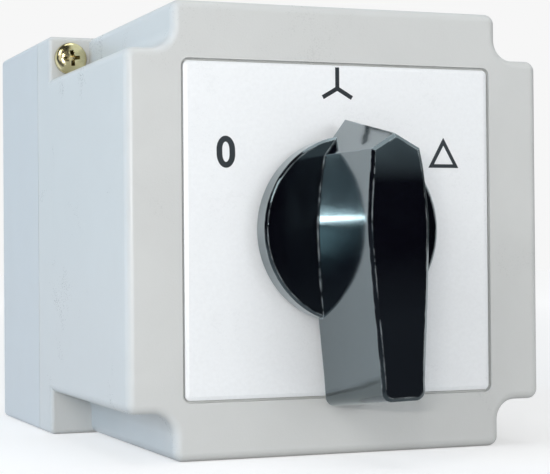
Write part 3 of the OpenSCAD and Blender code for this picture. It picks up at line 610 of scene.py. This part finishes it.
def oval(name, half_width, half_height, back, front):
    """A round bar stretched to an ellipse, with short straight sides."""
    obj = bar(name, half_width, back, front)
    straight = OVAL_STRAIGHT * (half_height - half_width)
    pick(obj, "VERT", lambda c: True)
    stretch(1, (half_height - straight) / half_width, (0, 0, 0))
    for side in (-1, 1):
        pick(obj, "VERT", lambda c: side * c.z > TINY)
        shift(z=side * straight)
    put_down()
    return obj


def triangle(name, width, height, x, foot, back, front):
    """A triangle standing on its base."""
    obj = block(name, (x - width / 2, -front, foot), (x + width / 2, -back, foot + height))
    pick(obj, "VERT", lambda c: c.z > foot + height / 2)
    stretch(0, 1, (x, 0, foot + height))
    bpy.ops.mesh.remove_doubles(threshold=TINY / 10)
    put_down()
    return obj


def curve_width(start, pull, end, level):
    """The width at a height on the curve from start to end that is drawn towards pull."""
    bow = start[1] - 2 * pull[1] + end[1]
    fall = start[1] - pull[1]
    part = (fall - math.sqrt(fall ** 2 - bow * (start[1] - level))) / bow
    return (1 - part) ** 2 * start[0] + 2 * part * (1 - part) * pull[0] + part ** 2 * end[0]


def grip_half_width(s, level, side):
    """The grip's half width to 0.01 mm at a height, at its front face (0) or its foot (1)."""
    half = GRIP_HALF + GRIP_FLARE * side
    belly = (half, BELLY_HEIGHT)
    tail = (half * TAIL_SHARE[side], TAIL_HEIGHT - s.tail_run / MM * side)
    if level <= tail[1]:
        width = tail[0]
    elif level > BELLY_HEIGHT:
        width = curve_width((half * SHOULDER_SHARE[side], SHOULDER_HEIGHT),
                            (half * UPPER_BEND_SHARE, UPPER_BEND_HEIGHT), belly, level)
    else:
        width = curve_width(belly, (half * LOWER_BEND_SHARE[side], LOWER_BEND_HEIGHT),
                            tail, level)
    return round(width, 2)


def make_handle(s, front):
    """The grip on its disc. The disc is 0.5 mm larger in radius than the solid's."""
    foot = -(front + s.grip_gap)
    face = -(front + s.reach)
    top = GRIP_LEVELS[0][0] * MM
    bottom = GRIP_LEVELS[-1][0] * MM
    grip = block("lever_handle", (-GRIP_START, face, bottom), (GRIP_START, foot, top))
    bpy.ops.object.mode_set(mode="EDIT")
    for level, _, _ in GRIP_LEVELS[1:-1]:
        bpy.ops.mesh.select_all(action="SELECT")
        bpy.ops.mesh.bisect(plane_co=(0, 0, level * MM), plane_no=(0, 0, 1))
    bpy.ops.mesh.select_all(action="SELECT")
    bpy.ops.mesh.bisect(plane_co=(0, 0, 0), plane_no=(1, 0, 0))
    for level, *eased in GRIP_LEVELS:
        for side, depth in enumerate((face, foot)):
            half = grip_half_width(s, level, side) - eased[side]
            pick(grip, "VERT", lambda c: abs(c.z - level * MM) < TINY and
                 abs(c.y - depth) < TINY)
            stretch(half * MM / GRIP_START, 1, (0, depth, level * MM))
    for depth, rise, drop in ((face, s.tip_height - top, 0),
                              (foot, s.tip_height + s.tip_run - top, s.tail_run)):
        pick(grip, "VERT", lambda c: c.z > top - TINY and abs(c.x) < TINY and
             abs(c.y - depth) < TINY)
        shift(z=rise)
        pick(grip, "VERT", lambda c: c.z < bottom + TINY and abs(c.y - depth) < TINY)
        shift(z=-drop)
    pick_along_y(grip, lambda c: c.z < bottom + TINY and abs(c.x) > TINY)
    round_off(s.tail_radius, 8)
    for level, lean in ((top, s.lean), (s.tip_height, APEX_LEAN * s.lean)):
        pick(grip, "VERT", lambda c: c.y < face + TINY and abs(c.z - level) < TINY)
        shift(y=lean)
    pick(grip, "EDGE", lambda c: c.y < face + 2 * s.lean)
    keep_edges(grip, lambda edge: any(abs(f.normal.y) <= FACING for f in edge.link_faces))
    round_off(s.bevel, 1)
    put_down()
    disc_back = front + s.disc_back
    disc = bar("disc", s.disc_radius, disc_back, disc_back + s.disc_thickness, sides=160)
    pick(disc, "EDGE", lambda c: True)
    keep_edges(disc, lambda edge: not runs_along_y(edge))
    round_off(DISC_BEVEL, 1)
    put_down()
    combine(grip, disc, "UNION")
    crown = -(disc_back + s.disc_thickness)
    pick(grip, "EDGE", lambda c: abs(c.y - crown) < TINY and abs(c.x) < FILLET_REACH and
         c.xz.length < s.disc_radius - FILLET_INSET)
    round_off(s.fillet, 3)
    put_down()
    combine(grip, bar("hub", s.hub_radius, front - HUB_DEPTH, disc_back + OVERLAP), "UNION")
    combine(grip, block("socket", (-SOCKET_HALF, -(front + SOCKET_FRONT), -SOCKET_HALF),
                        (SOCKET_HALF, -(front - SOCKET_BACK), SOCKET_HALF)))
    combine(grip, block("clip_pocket", (0, -(front + CLIP_FRONT), -CLIP_HALF),
                        (SOCKET_HALF + CLIP_DEPTH, -(front + CLIP_BACK), CLIP_HALF)))
    turn(grip, -s.slack)
    tidy_edges(grip, GRIP_SOFTNESS, segments=3, angle=22)
    return grip


def make_screw(s, name, x, z, recess_angle):
    """A pan-head screw with a cross recess, seated in a notch."""
    edge = s.seat + HEAD_EDGE * s.head_height
    head = bar(name, s.head_radius, s.seat, edge, x, z, 64)
    rise = (1 - HEAD_EDGE) * s.head_height
    pick(head, "FACE", lambda c: c.y < TINY - edge)
    size = 1.0
    step = DOME_ANGLE / DOME_STEPS
    for k in range(1, DOME_STEPS + 1):
        climb = rise * (math.sin(k * step) - math.sin((k - 1) * step))
        bpy.ops.mesh.extrude_region_move(TRANSFORM_OT_translate={"value": (0, -climb, 0)})
        shrink = math.cos(k * step) / size
        stretch(shrink, shrink, (x, 0, z))
        size = math.cos(k * step)
    put_down()
    shank = bar("shank", s.thread_radius, s.seat - SHANK_LENGTH, s.seat + SHANK_OVERLAP,
                x, z, 48)
    combine(head, shank, "UNION")
    tip = s.seat + s.head_height
    for angle, half, width, taper in (
            (0, SLOT_HALF_LENGTH, SLOT_HALF_WIDTH, SLOT_TAPER),
            (90, SLOT_HALF_LENGTH, SLOT_HALF_WIDTH, SLOT_TAPER),
            (45, CORE_HALF, CORE_HALF, CORE_TAPER)):
        cut = block("recess", (x - half, -(tip + OVERLAP), z - width),
                    (x + half, -(tip - RECESS_DEPTH), z + width))
        pick(cut, "VERT", lambda c: c.y > -(tip - RECESS_FLOOR))
        stretch(*taper, (x, 0, z))
        turn(cut, math.radians(recess_angle + angle), (x, 0, z))
        combine(head, cut)
    tidy_edges(head, SCREW_SOFTNESS, segments=2, angle=40)
    return head


# Finishes

class Sheet:
    """A node tree being laid out, with a short way to add and wire nodes."""

    def __init__(self, tree):
        self.tree = tree

    def set(self, socket, value):
        """Wires the value in if it is a socket, or else stores it."""
        if isinstance(value, bpy.types.NodeSocket):
            self.tree.links.new(value, socket)
        else:
            socket.default_value = value

    def add(self, kind, inputs=None, **values):
        """Adds a node with these settings and inputs."""
        node = self.tree.nodes.new(kind)
        for key, value in values.items():
            setattr(node, key, value)
        for key, value in (inputs or {}).items():
            self.set(node.inputs[key], value)
        return node

    def math(self, operation, *values, clamp=False):
        """Adds a Math node on these values."""
        node = self.add("ShaderNodeMath", dict(enumerate(values)), operation=operation)
        node.use_clamp = clamp
        return node.outputs[0]

    def span(self, value, low, high, to_low=0.0, to_high=1.0):
        """Maps a range of values to another one, and clamps it there."""
        node = self.add("ShaderNodeMapRange", {"Value": value, "From Min": low, "From Max": high,
                                               "To Min": to_low, "To Max": to_high})
        return node.outputs["Result"]

    def mix(self, factor, a, b):
        """Mixes two colours."""
        node = self.add("ShaderNodeMix", data_type="RGBA")
        for index, value in ((0, factor), (6, a), (7, b)):
            self.set(node.inputs[index], value)
        return node.outputs[2]


def new_group(name, inputs, outputs):
    """A shader node group with named float or colour sockets."""
    group = bpy.data.node_groups.new(name, "ShaderNodeTree")
    kinds = {"f": "NodeSocketFloat", "c": "NodeSocketColor", "v": "NodeSocketVector"}
    for label, kind, value in inputs:
        socket = group.interface.new_socket(label, in_out="INPUT", socket_type=kinds[kind])
        socket.default_value = value
    for label, kind in outputs:
        group.interface.new_socket(label, in_out="OUTPUT", socket_type=kinds[kind])
    sheet = Sheet(group)
    inside = group.nodes.new("NodeGroupInput")
    outside = group.nodes.new("NodeGroupOutput")
    return group, sheet, inside.outputs, outside.inputs


def grain_group():
    """Fine moulded dimples: a height for bump and a mask for roughness and tone."""
    group, sheet, given, out = new_group(
        "Moulded Grain", [("Spacing", "f", 0.00035), ("Stretch", "v", (1.0, 1.0, 1.0))],
        [("Height", "f"), ("Mask", "f")])
    place = sheet.add("ShaderNodeTexCoord").outputs["Object"]
    place = sheet.add("ShaderNodeVectorMath", {0: place, 1: given["Stretch"]},
                      operation="MULTIPLY").outputs[0]
    scale = sheet.math("DIVIDE", 1.0, given["Spacing"])
    fine = sheet.add("ShaderNodeTexNoise", {"Vector": place, "Scale": scale, "Detail": 3.0,
                                            "Roughness": 0.6})
    pits = sheet.add("ShaderNodeTexVoronoi", {"Vector": place, "Scale": scale})
    height = sheet.math("ADD", fine.outputs["Fac"],
                        sheet.math("MULTIPLY", pits.outputs["Distance"], 0.5))
    sheet.tree.links.new(height, out["Height"])
    sheet.tree.links.new(sheet.span(fine.outputs["Fac"], 0.35, 0.65), out["Mask"])
    return group


def handled_group():
    """Broad faint smears from hands and packing: a mask for roughness and colour."""
    group, sheet, given, out = new_group(
        "Handling Smears", [("Size", "f", 0.02)], [("Mask", "f")])
    place = sheet.add("ShaderNodeTexCoord").outputs["Object"]
    scale = sheet.math("DIVIDE", 1.0, given["Size"])
    broad = sheet.add("ShaderNodeTexNoise", {"Vector": place, "Scale": scale, "Detail": 4.0,
                                             "Roughness": 0.55, "Distortion": 0.6})
    sheet.tree.links.new(sheet.span(broad.outputs["Fac"], 0.3, 0.7), out["Mask"])
    return group


def edge_group():
    """Rubbed edges: a broken mask along sharp bends, outer and inner."""
    group, sheet, given, out = new_group(
        "Rubbed Edges", [("Width", "f", 0.0004), ("Amount", "f", 0.3)], [("Mask", "f")])
    bevel = sheet.add("ShaderNodeBevel", {"Radius": given["Width"]}, samples=4)
    shape = sheet.add("ShaderNodeNewGeometry")
    match = sheet.add("ShaderNodeVectorMath", {0: bevel.outputs[0], 1: shape.outputs["Normal"]},
                      operation="DOT_PRODUCT").outputs["Value"]
    bent = sheet.span(match, 0.995, 0.9)
    place = sheet.add("ShaderNodeTexCoord").outputs["Object"]
    patches = sheet.add("ShaderNodeTexNoise", {"Vector": place, "Scale": 420.0, "Detail": 3.0})
    broken = sheet.math("MULTIPLY", bent, sheet.span(patches.outputs["Fac"], 0.4, 0.62))
    sheet.tree.links.new(sheet.math("MULTIPLY", broken, given["Amount"], clamp=True),
                         out["Mask"])
    return group


def dust_group():
    """Dust on faces that look upwards."""
    group, sheet, given, out = new_group("Settled Dust", [("Amount", "f", 0.15)],
                                         [("Mask", "f")])
    shape = sheet.add("ShaderNodeNewGeometry")
    up = sheet.add("ShaderNodeSeparateXYZ", {0: shape.outputs["Normal"]}).outputs["Z"]
    place = sheet.add("ShaderNodeTexCoord").outputs["Object"]
    specks = sheet.add("ShaderNodeTexNoise", {"Vector": place, "Scale": 900.0, "Detail": 4.0,
                                              "Roughness": 0.7})
    lying = sheet.math("MULTIPLY", sheet.span(up, 0.3, 0.95),
                       sheet.span(specks.outputs["Fac"], 0.42, 0.7))
    sheet.tree.links.new(sheet.math("MULTIPLY", lying, given["Amount"], clamp=True),
                         out["Mask"])
    return group


def recess_shade_group():
    """Painted shade deep in recesses and corners, from ambient occlusion."""
    group, sheet, given, out = new_group(
        "Painted Recess Shade", [("Reach", "f", 0.001), ("Amount", "f", 0.8)], [("Mask", "f")])
    open_air = sheet.add("ShaderNodeAmbientOcclusion", {"Distance": given["Reach"]}, samples=8)
    shut = sheet.span(open_air.outputs["AO"], 0.8, 0.35)
    sheet.tree.links.new(sheet.math("MULTIPLY", shut, given["Amount"], clamp=True),
                         out["Mask"])
    return group


EFFECTS = {"grain": grain_group, "handled": handled_group, "edges": edge_group,
           "dust": dust_group, "painted_shade": recess_shade_group}
_groups = {}
_materials = {}


def effect(sheet, key, **inputs):
    """Places a shared effect in a material with its own values."""
    if key not in _groups:
        _groups[key] = EFFECTS[key]()
    node = sheet.add("ShaderNodeGroup", node_tree=_groups[key])
    for label, value in inputs.items():
        node.inputs[label.replace("_", " ")].default_value = value
    return node.outputs


def opaque(rgb, gain=1.0):
    """The colour times a gain, with full alpha."""
    return (*[min(1.0, c * gain) for c in rgb], 1.0)


def new_material(name, **constants):
    """A Principled material with these socket values, its sheet and its shader."""
    material = bpy.data.materials.new(name)
    material.use_nodes = True
    sheet = Sheet(material.node_tree)
    shader = next(n for n in material.node_tree.nodes if n.type == "BSDF_PRINCIPLED")
    for label, value in constants.items():
        shader.inputs[label.replace("_", " ")].default_value = value
    return material, sheet, shader


def plastic(name, rgb, finish, roughness, spacing, bump, variation=0.03, wear_gain=1.12,
            smear=0.035, smear_size=0.02, edge_wear_and_highlight=0.02, rubbed=1.0, speckle=0.0, dusty=1.0, **gloss):
    """A moulded plastic: grain, faint smears, rubbed edges (on the handle partly painted
    highlight) and a little dust.

    Dust follows the world's upward direction, so the handle, which turns, has none.
    """
    material, sheet, shader = new_material(name, **gloss)
    grain = effect(sheet, "grain", Spacing=spacing)
    smears = effect(sheet, "handled", Size=smear_size)
    edges = effect(sheet, "edges", Amount=finish.wear * rubbed)
    dust = effect(sheet, "dust", Amount=finish.dust * dusty)
    tone = sheet.mix(smears["Mask"], opaque(rgb, 1 - variation), opaque(rgb, 1 + variation))
    specks = sheet.math("MULTIPLY", grain["Mask"], speckle)
    tone = sheet.mix(specks, tone, opaque([0.72 * c for c in rgb]))
    # Lighter edges: wear, and on the handle, with its large lift and share, partly painted
    # highlight.
    tone = sheet.mix(edges["Mask"], tone, opaque([c + edge_wear_and_highlight for c in rgb], wear_gain))
    tone = sheet.mix(dust["Mask"], tone, DUST_TONE)
    rough = sheet.math("ADD", sheet.span(smears["Mask"], 0, 1, roughness - smear,
                                         roughness + smear),
                       sheet.span(grain["Mask"], 0, 1, -0.02, 0.02))
    rough = sheet.math("ADD", rough, sheet.math("MULTIPLY", dust["Mask"], 0.3), clamp=True)
    relief = sheet.add("ShaderNodeBump", {"Height": grain["Height"], "Strength": bump,
                                          "Distance": 0.00005})
    for label, value in (("Base Color", tone), ("Roughness", rough),
                         ("Normal", relief.outputs[0])):
        sheet.tree.links.new(value, shader.inputs[label])
    return material


def metal(name, rgb, finish, roughness, stretch, tint=0.08, second=None):
    """A plated or rolled metal with fine drawn marks."""
    material, sheet, shader = new_material(name, Metallic=1.0)
    grain = effect(sheet, "grain", Spacing=0.0003, Stretch=stretch)
    smears = effect(sheet, "handled", Size=0.006)
    edges = effect(sheet, "edges", Amount=finish.wear)
    other = opaque(second) if second else opaque(rgb, 1 - tint)
    tone = sheet.mix(smears["Mask"], other, opaque(rgb, 1 + tint))
    tone = sheet.mix(edges["Mask"], tone, opaque([c + 0.1 for c in rgb], 1.15))
    # Painted shade: recesses and corners take a dim copy of the metal's colour.
    painted_shade = effect(sheet, "painted_shade")
    tone = sheet.mix(painted_shade["Mask"], tone, opaque([c * c for c in rgb], 0.3))
    rough = sheet.math("ADD", sheet.span(smears["Mask"], 0, 1, roughness - 0.06,
                                         roughness + 0.08),
                       sheet.span(grain["Mask"], 0, 1, -0.04, 0.04), clamp=True)
    relief = sheet.add("ShaderNodeBump", {"Height": grain["Height"], "Strength": 0.12,
                                          "Distance": 0.00004})
    for label, value in (("Base Color", tone), ("Roughness", rough),
                         ("Normal", relief.outputs[0])):
        sheet.tree.links.new(value, shader.inputs[label])
    return material


def make_finishes(finish):
    """One material for each slot of the record, and one for the ink."""
    grain = finish.grain
    return {
        "cover_shell": plastic("Cover Grey Plastic", finish.shell, finish, 0.31, grain, 0.25),
        "base_shell": plastic("Base Grey Plastic", finish.base, finish, 0.40, grain, 0.30),
        "legend_white": plastic("Legend White", finish.plate, finish, 0.30, grain * 2, 0.08,
                                variation=0.006, wear_gain=1.0, smear=0.03,
                                smear_size=0.012, speckle=0.12),
        "ink": plastic("Printed Ink", finish.ink, finish, 0.45, grain / 2, 0.3,
                       variation=0.25, wear_gain=1.2),
        # The handle's edges are lightened far beyond its wear: partly painted highlight lines.
        "handle_black": plastic("Glossy Black Plastic", finish.handle, finish, 0.09, grain,
                                0.05, variation=0.1, wear_gain=1.2, smear=0.035,
                                smear_size=0.012, edge_wear_and_highlight=0.5, rubbed=3.0, dusty=0.0, IOR=1.9,
                                Specular_Tint=(0.65, 0.90, 0.99, 1.0), Coat_Weight=1.0,
                                Coat_Roughness=0.07, Coat_Tint=(0.90, 0.98, 1.0, 1.0)),
        "block_moulding": plastic("Block Moulding", finish.moulding, finish, 0.5, grain, 0.4),
        "cam_moulding": plastic("Cam Moulding", finish.cam, finish, 0.42, grain, 0.25),
        "seal_rubber": plastic("Seal Rubber", finish.rubber, finish, 0.65, grain, 0.5),
        "yellow_passivated_screw": metal("Yellow Passivated Zinc", finish.passivated, finish,
                                         0.2, (1, 1, 1), 0.1, (0.72, 0.68, 0.44)),
        "plated_steel": metal("Bright Plated Steel", finish.steel, finish, 0.28, (1, 1, 1)),
        "spring_steel": metal("Drawn Spring Steel", finish.spring, finish, 0.32, (1, 4, 1)),
        "contact_brass": metal("Rolled Brass", finish.brass, finish, 0.3, (1, 1, 5)),
    }


def finish_material(slot):
    """The slot's material. All of them are made at the first call."""
    if not _materials:
        _materials.update(make_finishes(bpy.context.scene.switch_finish))
    return _materials[slot]


def dress(obj, slot, body, *nodes, ink=None):
    """Gives a new piece its finish and its body, and hides the solids that it stands for."""
    obj.data.materials.clear()
    obj.data.materials.append(finish_material(ink or slot))
    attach(obj, body)
    if nodes:
        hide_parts(*nodes)


# Operators

class MakeStage(Operator):
    """Sets the camera, the floor, the lamps and the room's light"""
    bl_idname = "cam_switch.stage"
    bl_label = "Stage"

    def execute(self, context):
        s = context.scene.switch_stage
        put_down()
        bpy.ops.object.camera_add()
        camera = context.object
        camera.name = "view_camera"
        camera.data.lens = s.lens
        camera.data.sensor_width = 36
        camera.data.sensor_fit = "HORIZONTAL"
        camera.data.clip_start = 0.01
        look = (Matrix.Rotation(s.yaw, 4, "Z") @ Matrix.Rotation(s.pitch, 4, "X") @
                Matrix.Rotation(s.roll, 4, "Y") @ Matrix.Rotation(math.pi / 2, 4, "X"))
        camera.matrix_world = Matrix.Translation(s.camera_place) @ look
        context.scene.camera = camera
        self.floor(s)
        self.room(context, s)
        for name, place, size, power, tint in LAMPS:
            lamp = self.lamp(name, place, size, power, tint)
            lamp.visible_glossy = not name.startswith("soft")
        context.scene.view_settings.view_transform = "Standard"
        return {"FINISHED"}

    def floor(self, s):
        """A pale floor, which reflections show dark in front of the object."""
        put_down()
        bpy.ops.mesh.primitive_plane_add(size=s.floor_size, location=(0, 0, BASE_LOW.z))
        floor = settle("floor")
        material, sheet, shader = new_material("Pale Floor", Roughness=0.9)
        path = sheet.add("ShaderNodeLightPath")
        shader.inputs["Emission Color"].default_value = (1.0, 1.0, 1.0, 1.0)
        seen = sheet.math("MAXIMUM", path.outputs["Is Camera Ray"],
                          path.outputs["Is Glossy Ray"])
        place = sheet.add("ShaderNodeTexCoord").outputs["Object"]
        away = sheet.add("ShaderNodeVectorMath", {0: place}, operation="LENGTH")
        lift = sheet.span(away.outputs["Value"], 0.15, 0.9, 0.48, 0.65)
        depth = sheet.add("ShaderNodeSeparateXYZ", {0: place}).outputs["Y"]
        dark = sheet.math("MULTIPLY", path.outputs["Is Glossy Ray"],
                          sheet.span(depth, -0.04, -0.2))
        lift = sheet.math("MULTIPLY", lift, sheet.math("SUBTRACT", 1.0, dark))
        sheet.tree.links.new(sheet.math("MULTIPLY", seen, lift),
                             shader.inputs["Emission Strength"])
        sheet.tree.links.new(sheet.mix(dark, (0.60, 0.60, 0.60, 1.0), (0.02, 0.02, 0.025, 1.0)),
                             shader.inputs["Base Color"])
        floor.data.materials.append(material)

    def room(self, context, s):
        """White to the eye, an even light, and bright in reflections behind the object."""
        world = context.scene.world or bpy.data.worlds.new("Room")
        context.scene.world = world
        world.use_nodes = True
        sheet = Sheet(world.node_tree)
        world.node_tree.nodes.clear()
        way = sheet.add("ShaderNodeTexCoord").outputs["Generated"]
        parts = sheet.add("ShaderNodeSeparateXYZ", {0: way}).outputs
        behind = sheet.math("MULTIPLY", sheet.span(parts["Y"], -0.25, 0.35, 0.012, 1.0),
                            sheet.span(parts["Z"], 0.3, 0.8, 1.0, 0.15))
        behind = sheet.math("MULTIPLY", behind, sheet.span(parts["X"], 0.1, 0.5, 1.0, 0.1))
        high = sheet.math("MULTIPLY", sheet.span(parts["Z"], 0.05, 0.42, 0.0, 0.9),
                          sheet.span(parts["X"], 0.05, 0.2))
        behind = sheet.math("MAXIMUM", behind, high)
        path = sheet.add("ShaderNodeLightPath")
        seen = sheet.add("ShaderNodeBackground", {"Color": (1, 1, 1, 1), "Strength": 0.93})
        mirrored = sheet.add("ShaderNodeBackground", {"Color": (0.88, 0.97, 1.0, 1.0),
                                                      "Strength": behind})
        even = sheet.add("ShaderNodeBackground", {"Color": (0.96, 0.98, 1.0, 1.0),
                                                  "Strength": s.ambient})
        glossy = sheet.math("MAXIMUM", path.outputs["Is Glossy Ray"],
                            path.outputs["Is Transmission Ray"])
        first = sheet.add("ShaderNodeMixShader", {0: glossy, 1: even.outputs[0],
                                                  2: mirrored.outputs[0]})
        second = sheet.add("ShaderNodeMixShader", {0: path.outputs["Is Camera Ray"],
                                                   1: first.outputs[0], 2: seen.outputs[0]})
        sheet.add("ShaderNodeOutputWorld", {"Surface": second.outputs[0]})

    def lamp(self, name, place, size, power, tint):
        """A rectangular lamp that faces the object."""
        put_down()
        bpy.ops.object.light_add(type="AREA", location=place)
        lamp = bpy.context.object
        lamp.name = name
        lamp.data.shape = "RECTANGLE"
        lamp.data.size, lamp.data.size_y = size
        lamp.data.energy = power
        lamp.data.color = tint
        aim = Vector(LAMP_AIM) - Vector(place)
        lamp.rotation_euler = aim.to_track_quat("-Z", "Y").to_euler()
        return lamp


class MakeCover(Operator):
    """Models the notched cover with its rounded front edges"""
    bl_idname = "cam_switch.cover"
    bl_label = "Cover"

    def execute(self, context):
        scene = context.scene
        cover = make_cover(scene.switch_housing, scene.switch_legend)
        dress(cover, "cover_shell", "housing", "cover")
        return {"FINISHED"}


class MakeBase(Operator):
    """Models the base box with its fixing holes and cable knockouts"""
    bl_idname = "cam_switch.base"
    bl_label = "Base"

    def execute(self, context):
        dress(make_base(context.scene.switch_housing), "base_shell", "housing", "base_box")
        return {"FINISHED"}


class MakeLegend(Operator):
    """Models the legend plate and prints its 0, star and delta"""
    bl_idname = "cam_switch.legend"
    bl_label = "Legend Plate"

    def execute(self, context):
        scene = context.scene
        front = scene.switch_housing.front
        dress(make_plate(scene.switch_legend, front), "legend_white", "housing",
              "legend_plate")
        dress(make_marks(scene.switch_legend, front), "legend_white", "housing", ink="ink")
        return {"FINISHED"}


class MakeHandle(Operator):
    """Models the lever handle with its disc, pointer tip and tail"""
    bl_idname = "cam_switch.handle"
    bl_label = "Handle"

    def execute(self, context):
        scene = context.scene
        handle = make_handle(scene.switch_handle, scene.switch_housing.front)
        dress(handle, "handle_black", "rotor", "handle")
        return {"FINISHED"}


class MakeScrews(Operator):
    """Models the two cover screws in their notches"""
    bl_idname = "cam_switch.screws"
    bl_label = "Cover Screws"

    def execute(self, context):
        s = context.scene.switch_housing
        (x, z), (far_x, far_z) = screw_places(s)
        screw = make_screw(s, "cover_screw_1", x, z, RECESS_DEGREES)
        pick_up(screw)
        bpy.ops.object.duplicate(linked=False)
        twin = context.object
        twin.name = twin.data.name = "cover_screw_2"
        turn(twin, TWIN_TURN, (x, 0, z))
        pick(twin, "VERT", lambda c: True)
        shift(far_x - x, 0, far_z - z)
        put_down()
        for piece in (screw, twin):
            dress(piece, "yellow_passivated_screw", "housing", "cover_screws")
        return {"FINISHED"}


class FinishInside(Operator):
    """Gives the solids inside the enclosure their finishes"""
    bl_idname = "cam_switch.inside"
    bl_label = "Inner Pieces"

    def execute(self, context):
        slots = {row["node"]: row["material_slot"] for row in frame["record"]["subparts"]}
        for name, node in frame["nodes"].items():
            material = finish_material(slots[name])
            if not node.material_slots:
                node.data.materials.append(material)
            for slot in node.material_slots:
                slot.material = material
        return {"FINISHED"}


STEPS = (MakeStage, MakeCover, MakeBase, MakeLegend, MakeHandle, MakeScrews, FinishInside)


class SwitchPanel(Panel):
    """Lists the switch's sizes and the steps that make it"""
    bl_idname = "VIEW3D_PT_cam_switch"
    bl_label = "Cam Switch"
    bl_space_type = "VIEW_3D"
    bl_region_type = "UI"
    bl_category = "Cam Switch"

    def draw(self, context):
        for step in STEPS:
            self.layout.operator(step.bl_idname)
        for key, group in GROUPS.items():
            box = self.layout.box()
            box.label(text=group.__doc__)
            for label in group.__annotations__:
                box.prop(getattr(context.scene, key), label)


def register():
    """Registers the settings, the steps and the panel."""
    for group in GROUPS.values():
        bpy.utils.register_class(group)
    for key, group in GROUPS.items():
        setattr(bpy.types.Scene, key, PointerProperty(type=group))
    for step in STEPS:
        bpy.utils.register_class(step)
    bpy.utils.register_class(SwitchPanel)


def unregister():
    """Takes out what register put in."""
    bpy.utils.unregister_class(SwitchPanel)
    for step in reversed(STEPS):
        bpy.utils.unregister_class(step)
    for key, group in GROUPS.items():
        delattr(bpy.types.Scene, key)
        bpy.utils.unregister_class(group)


def main():
    """Makes everything."""
    register()
    steps = bpy.ops.cam_switch
    steps.stage()
    steps.cover()
    steps.base()
    steps.legend()
    steps.handle()
    steps.screws()
    steps.inside()
    put_down()


if __name__ == "__main__":
    main()
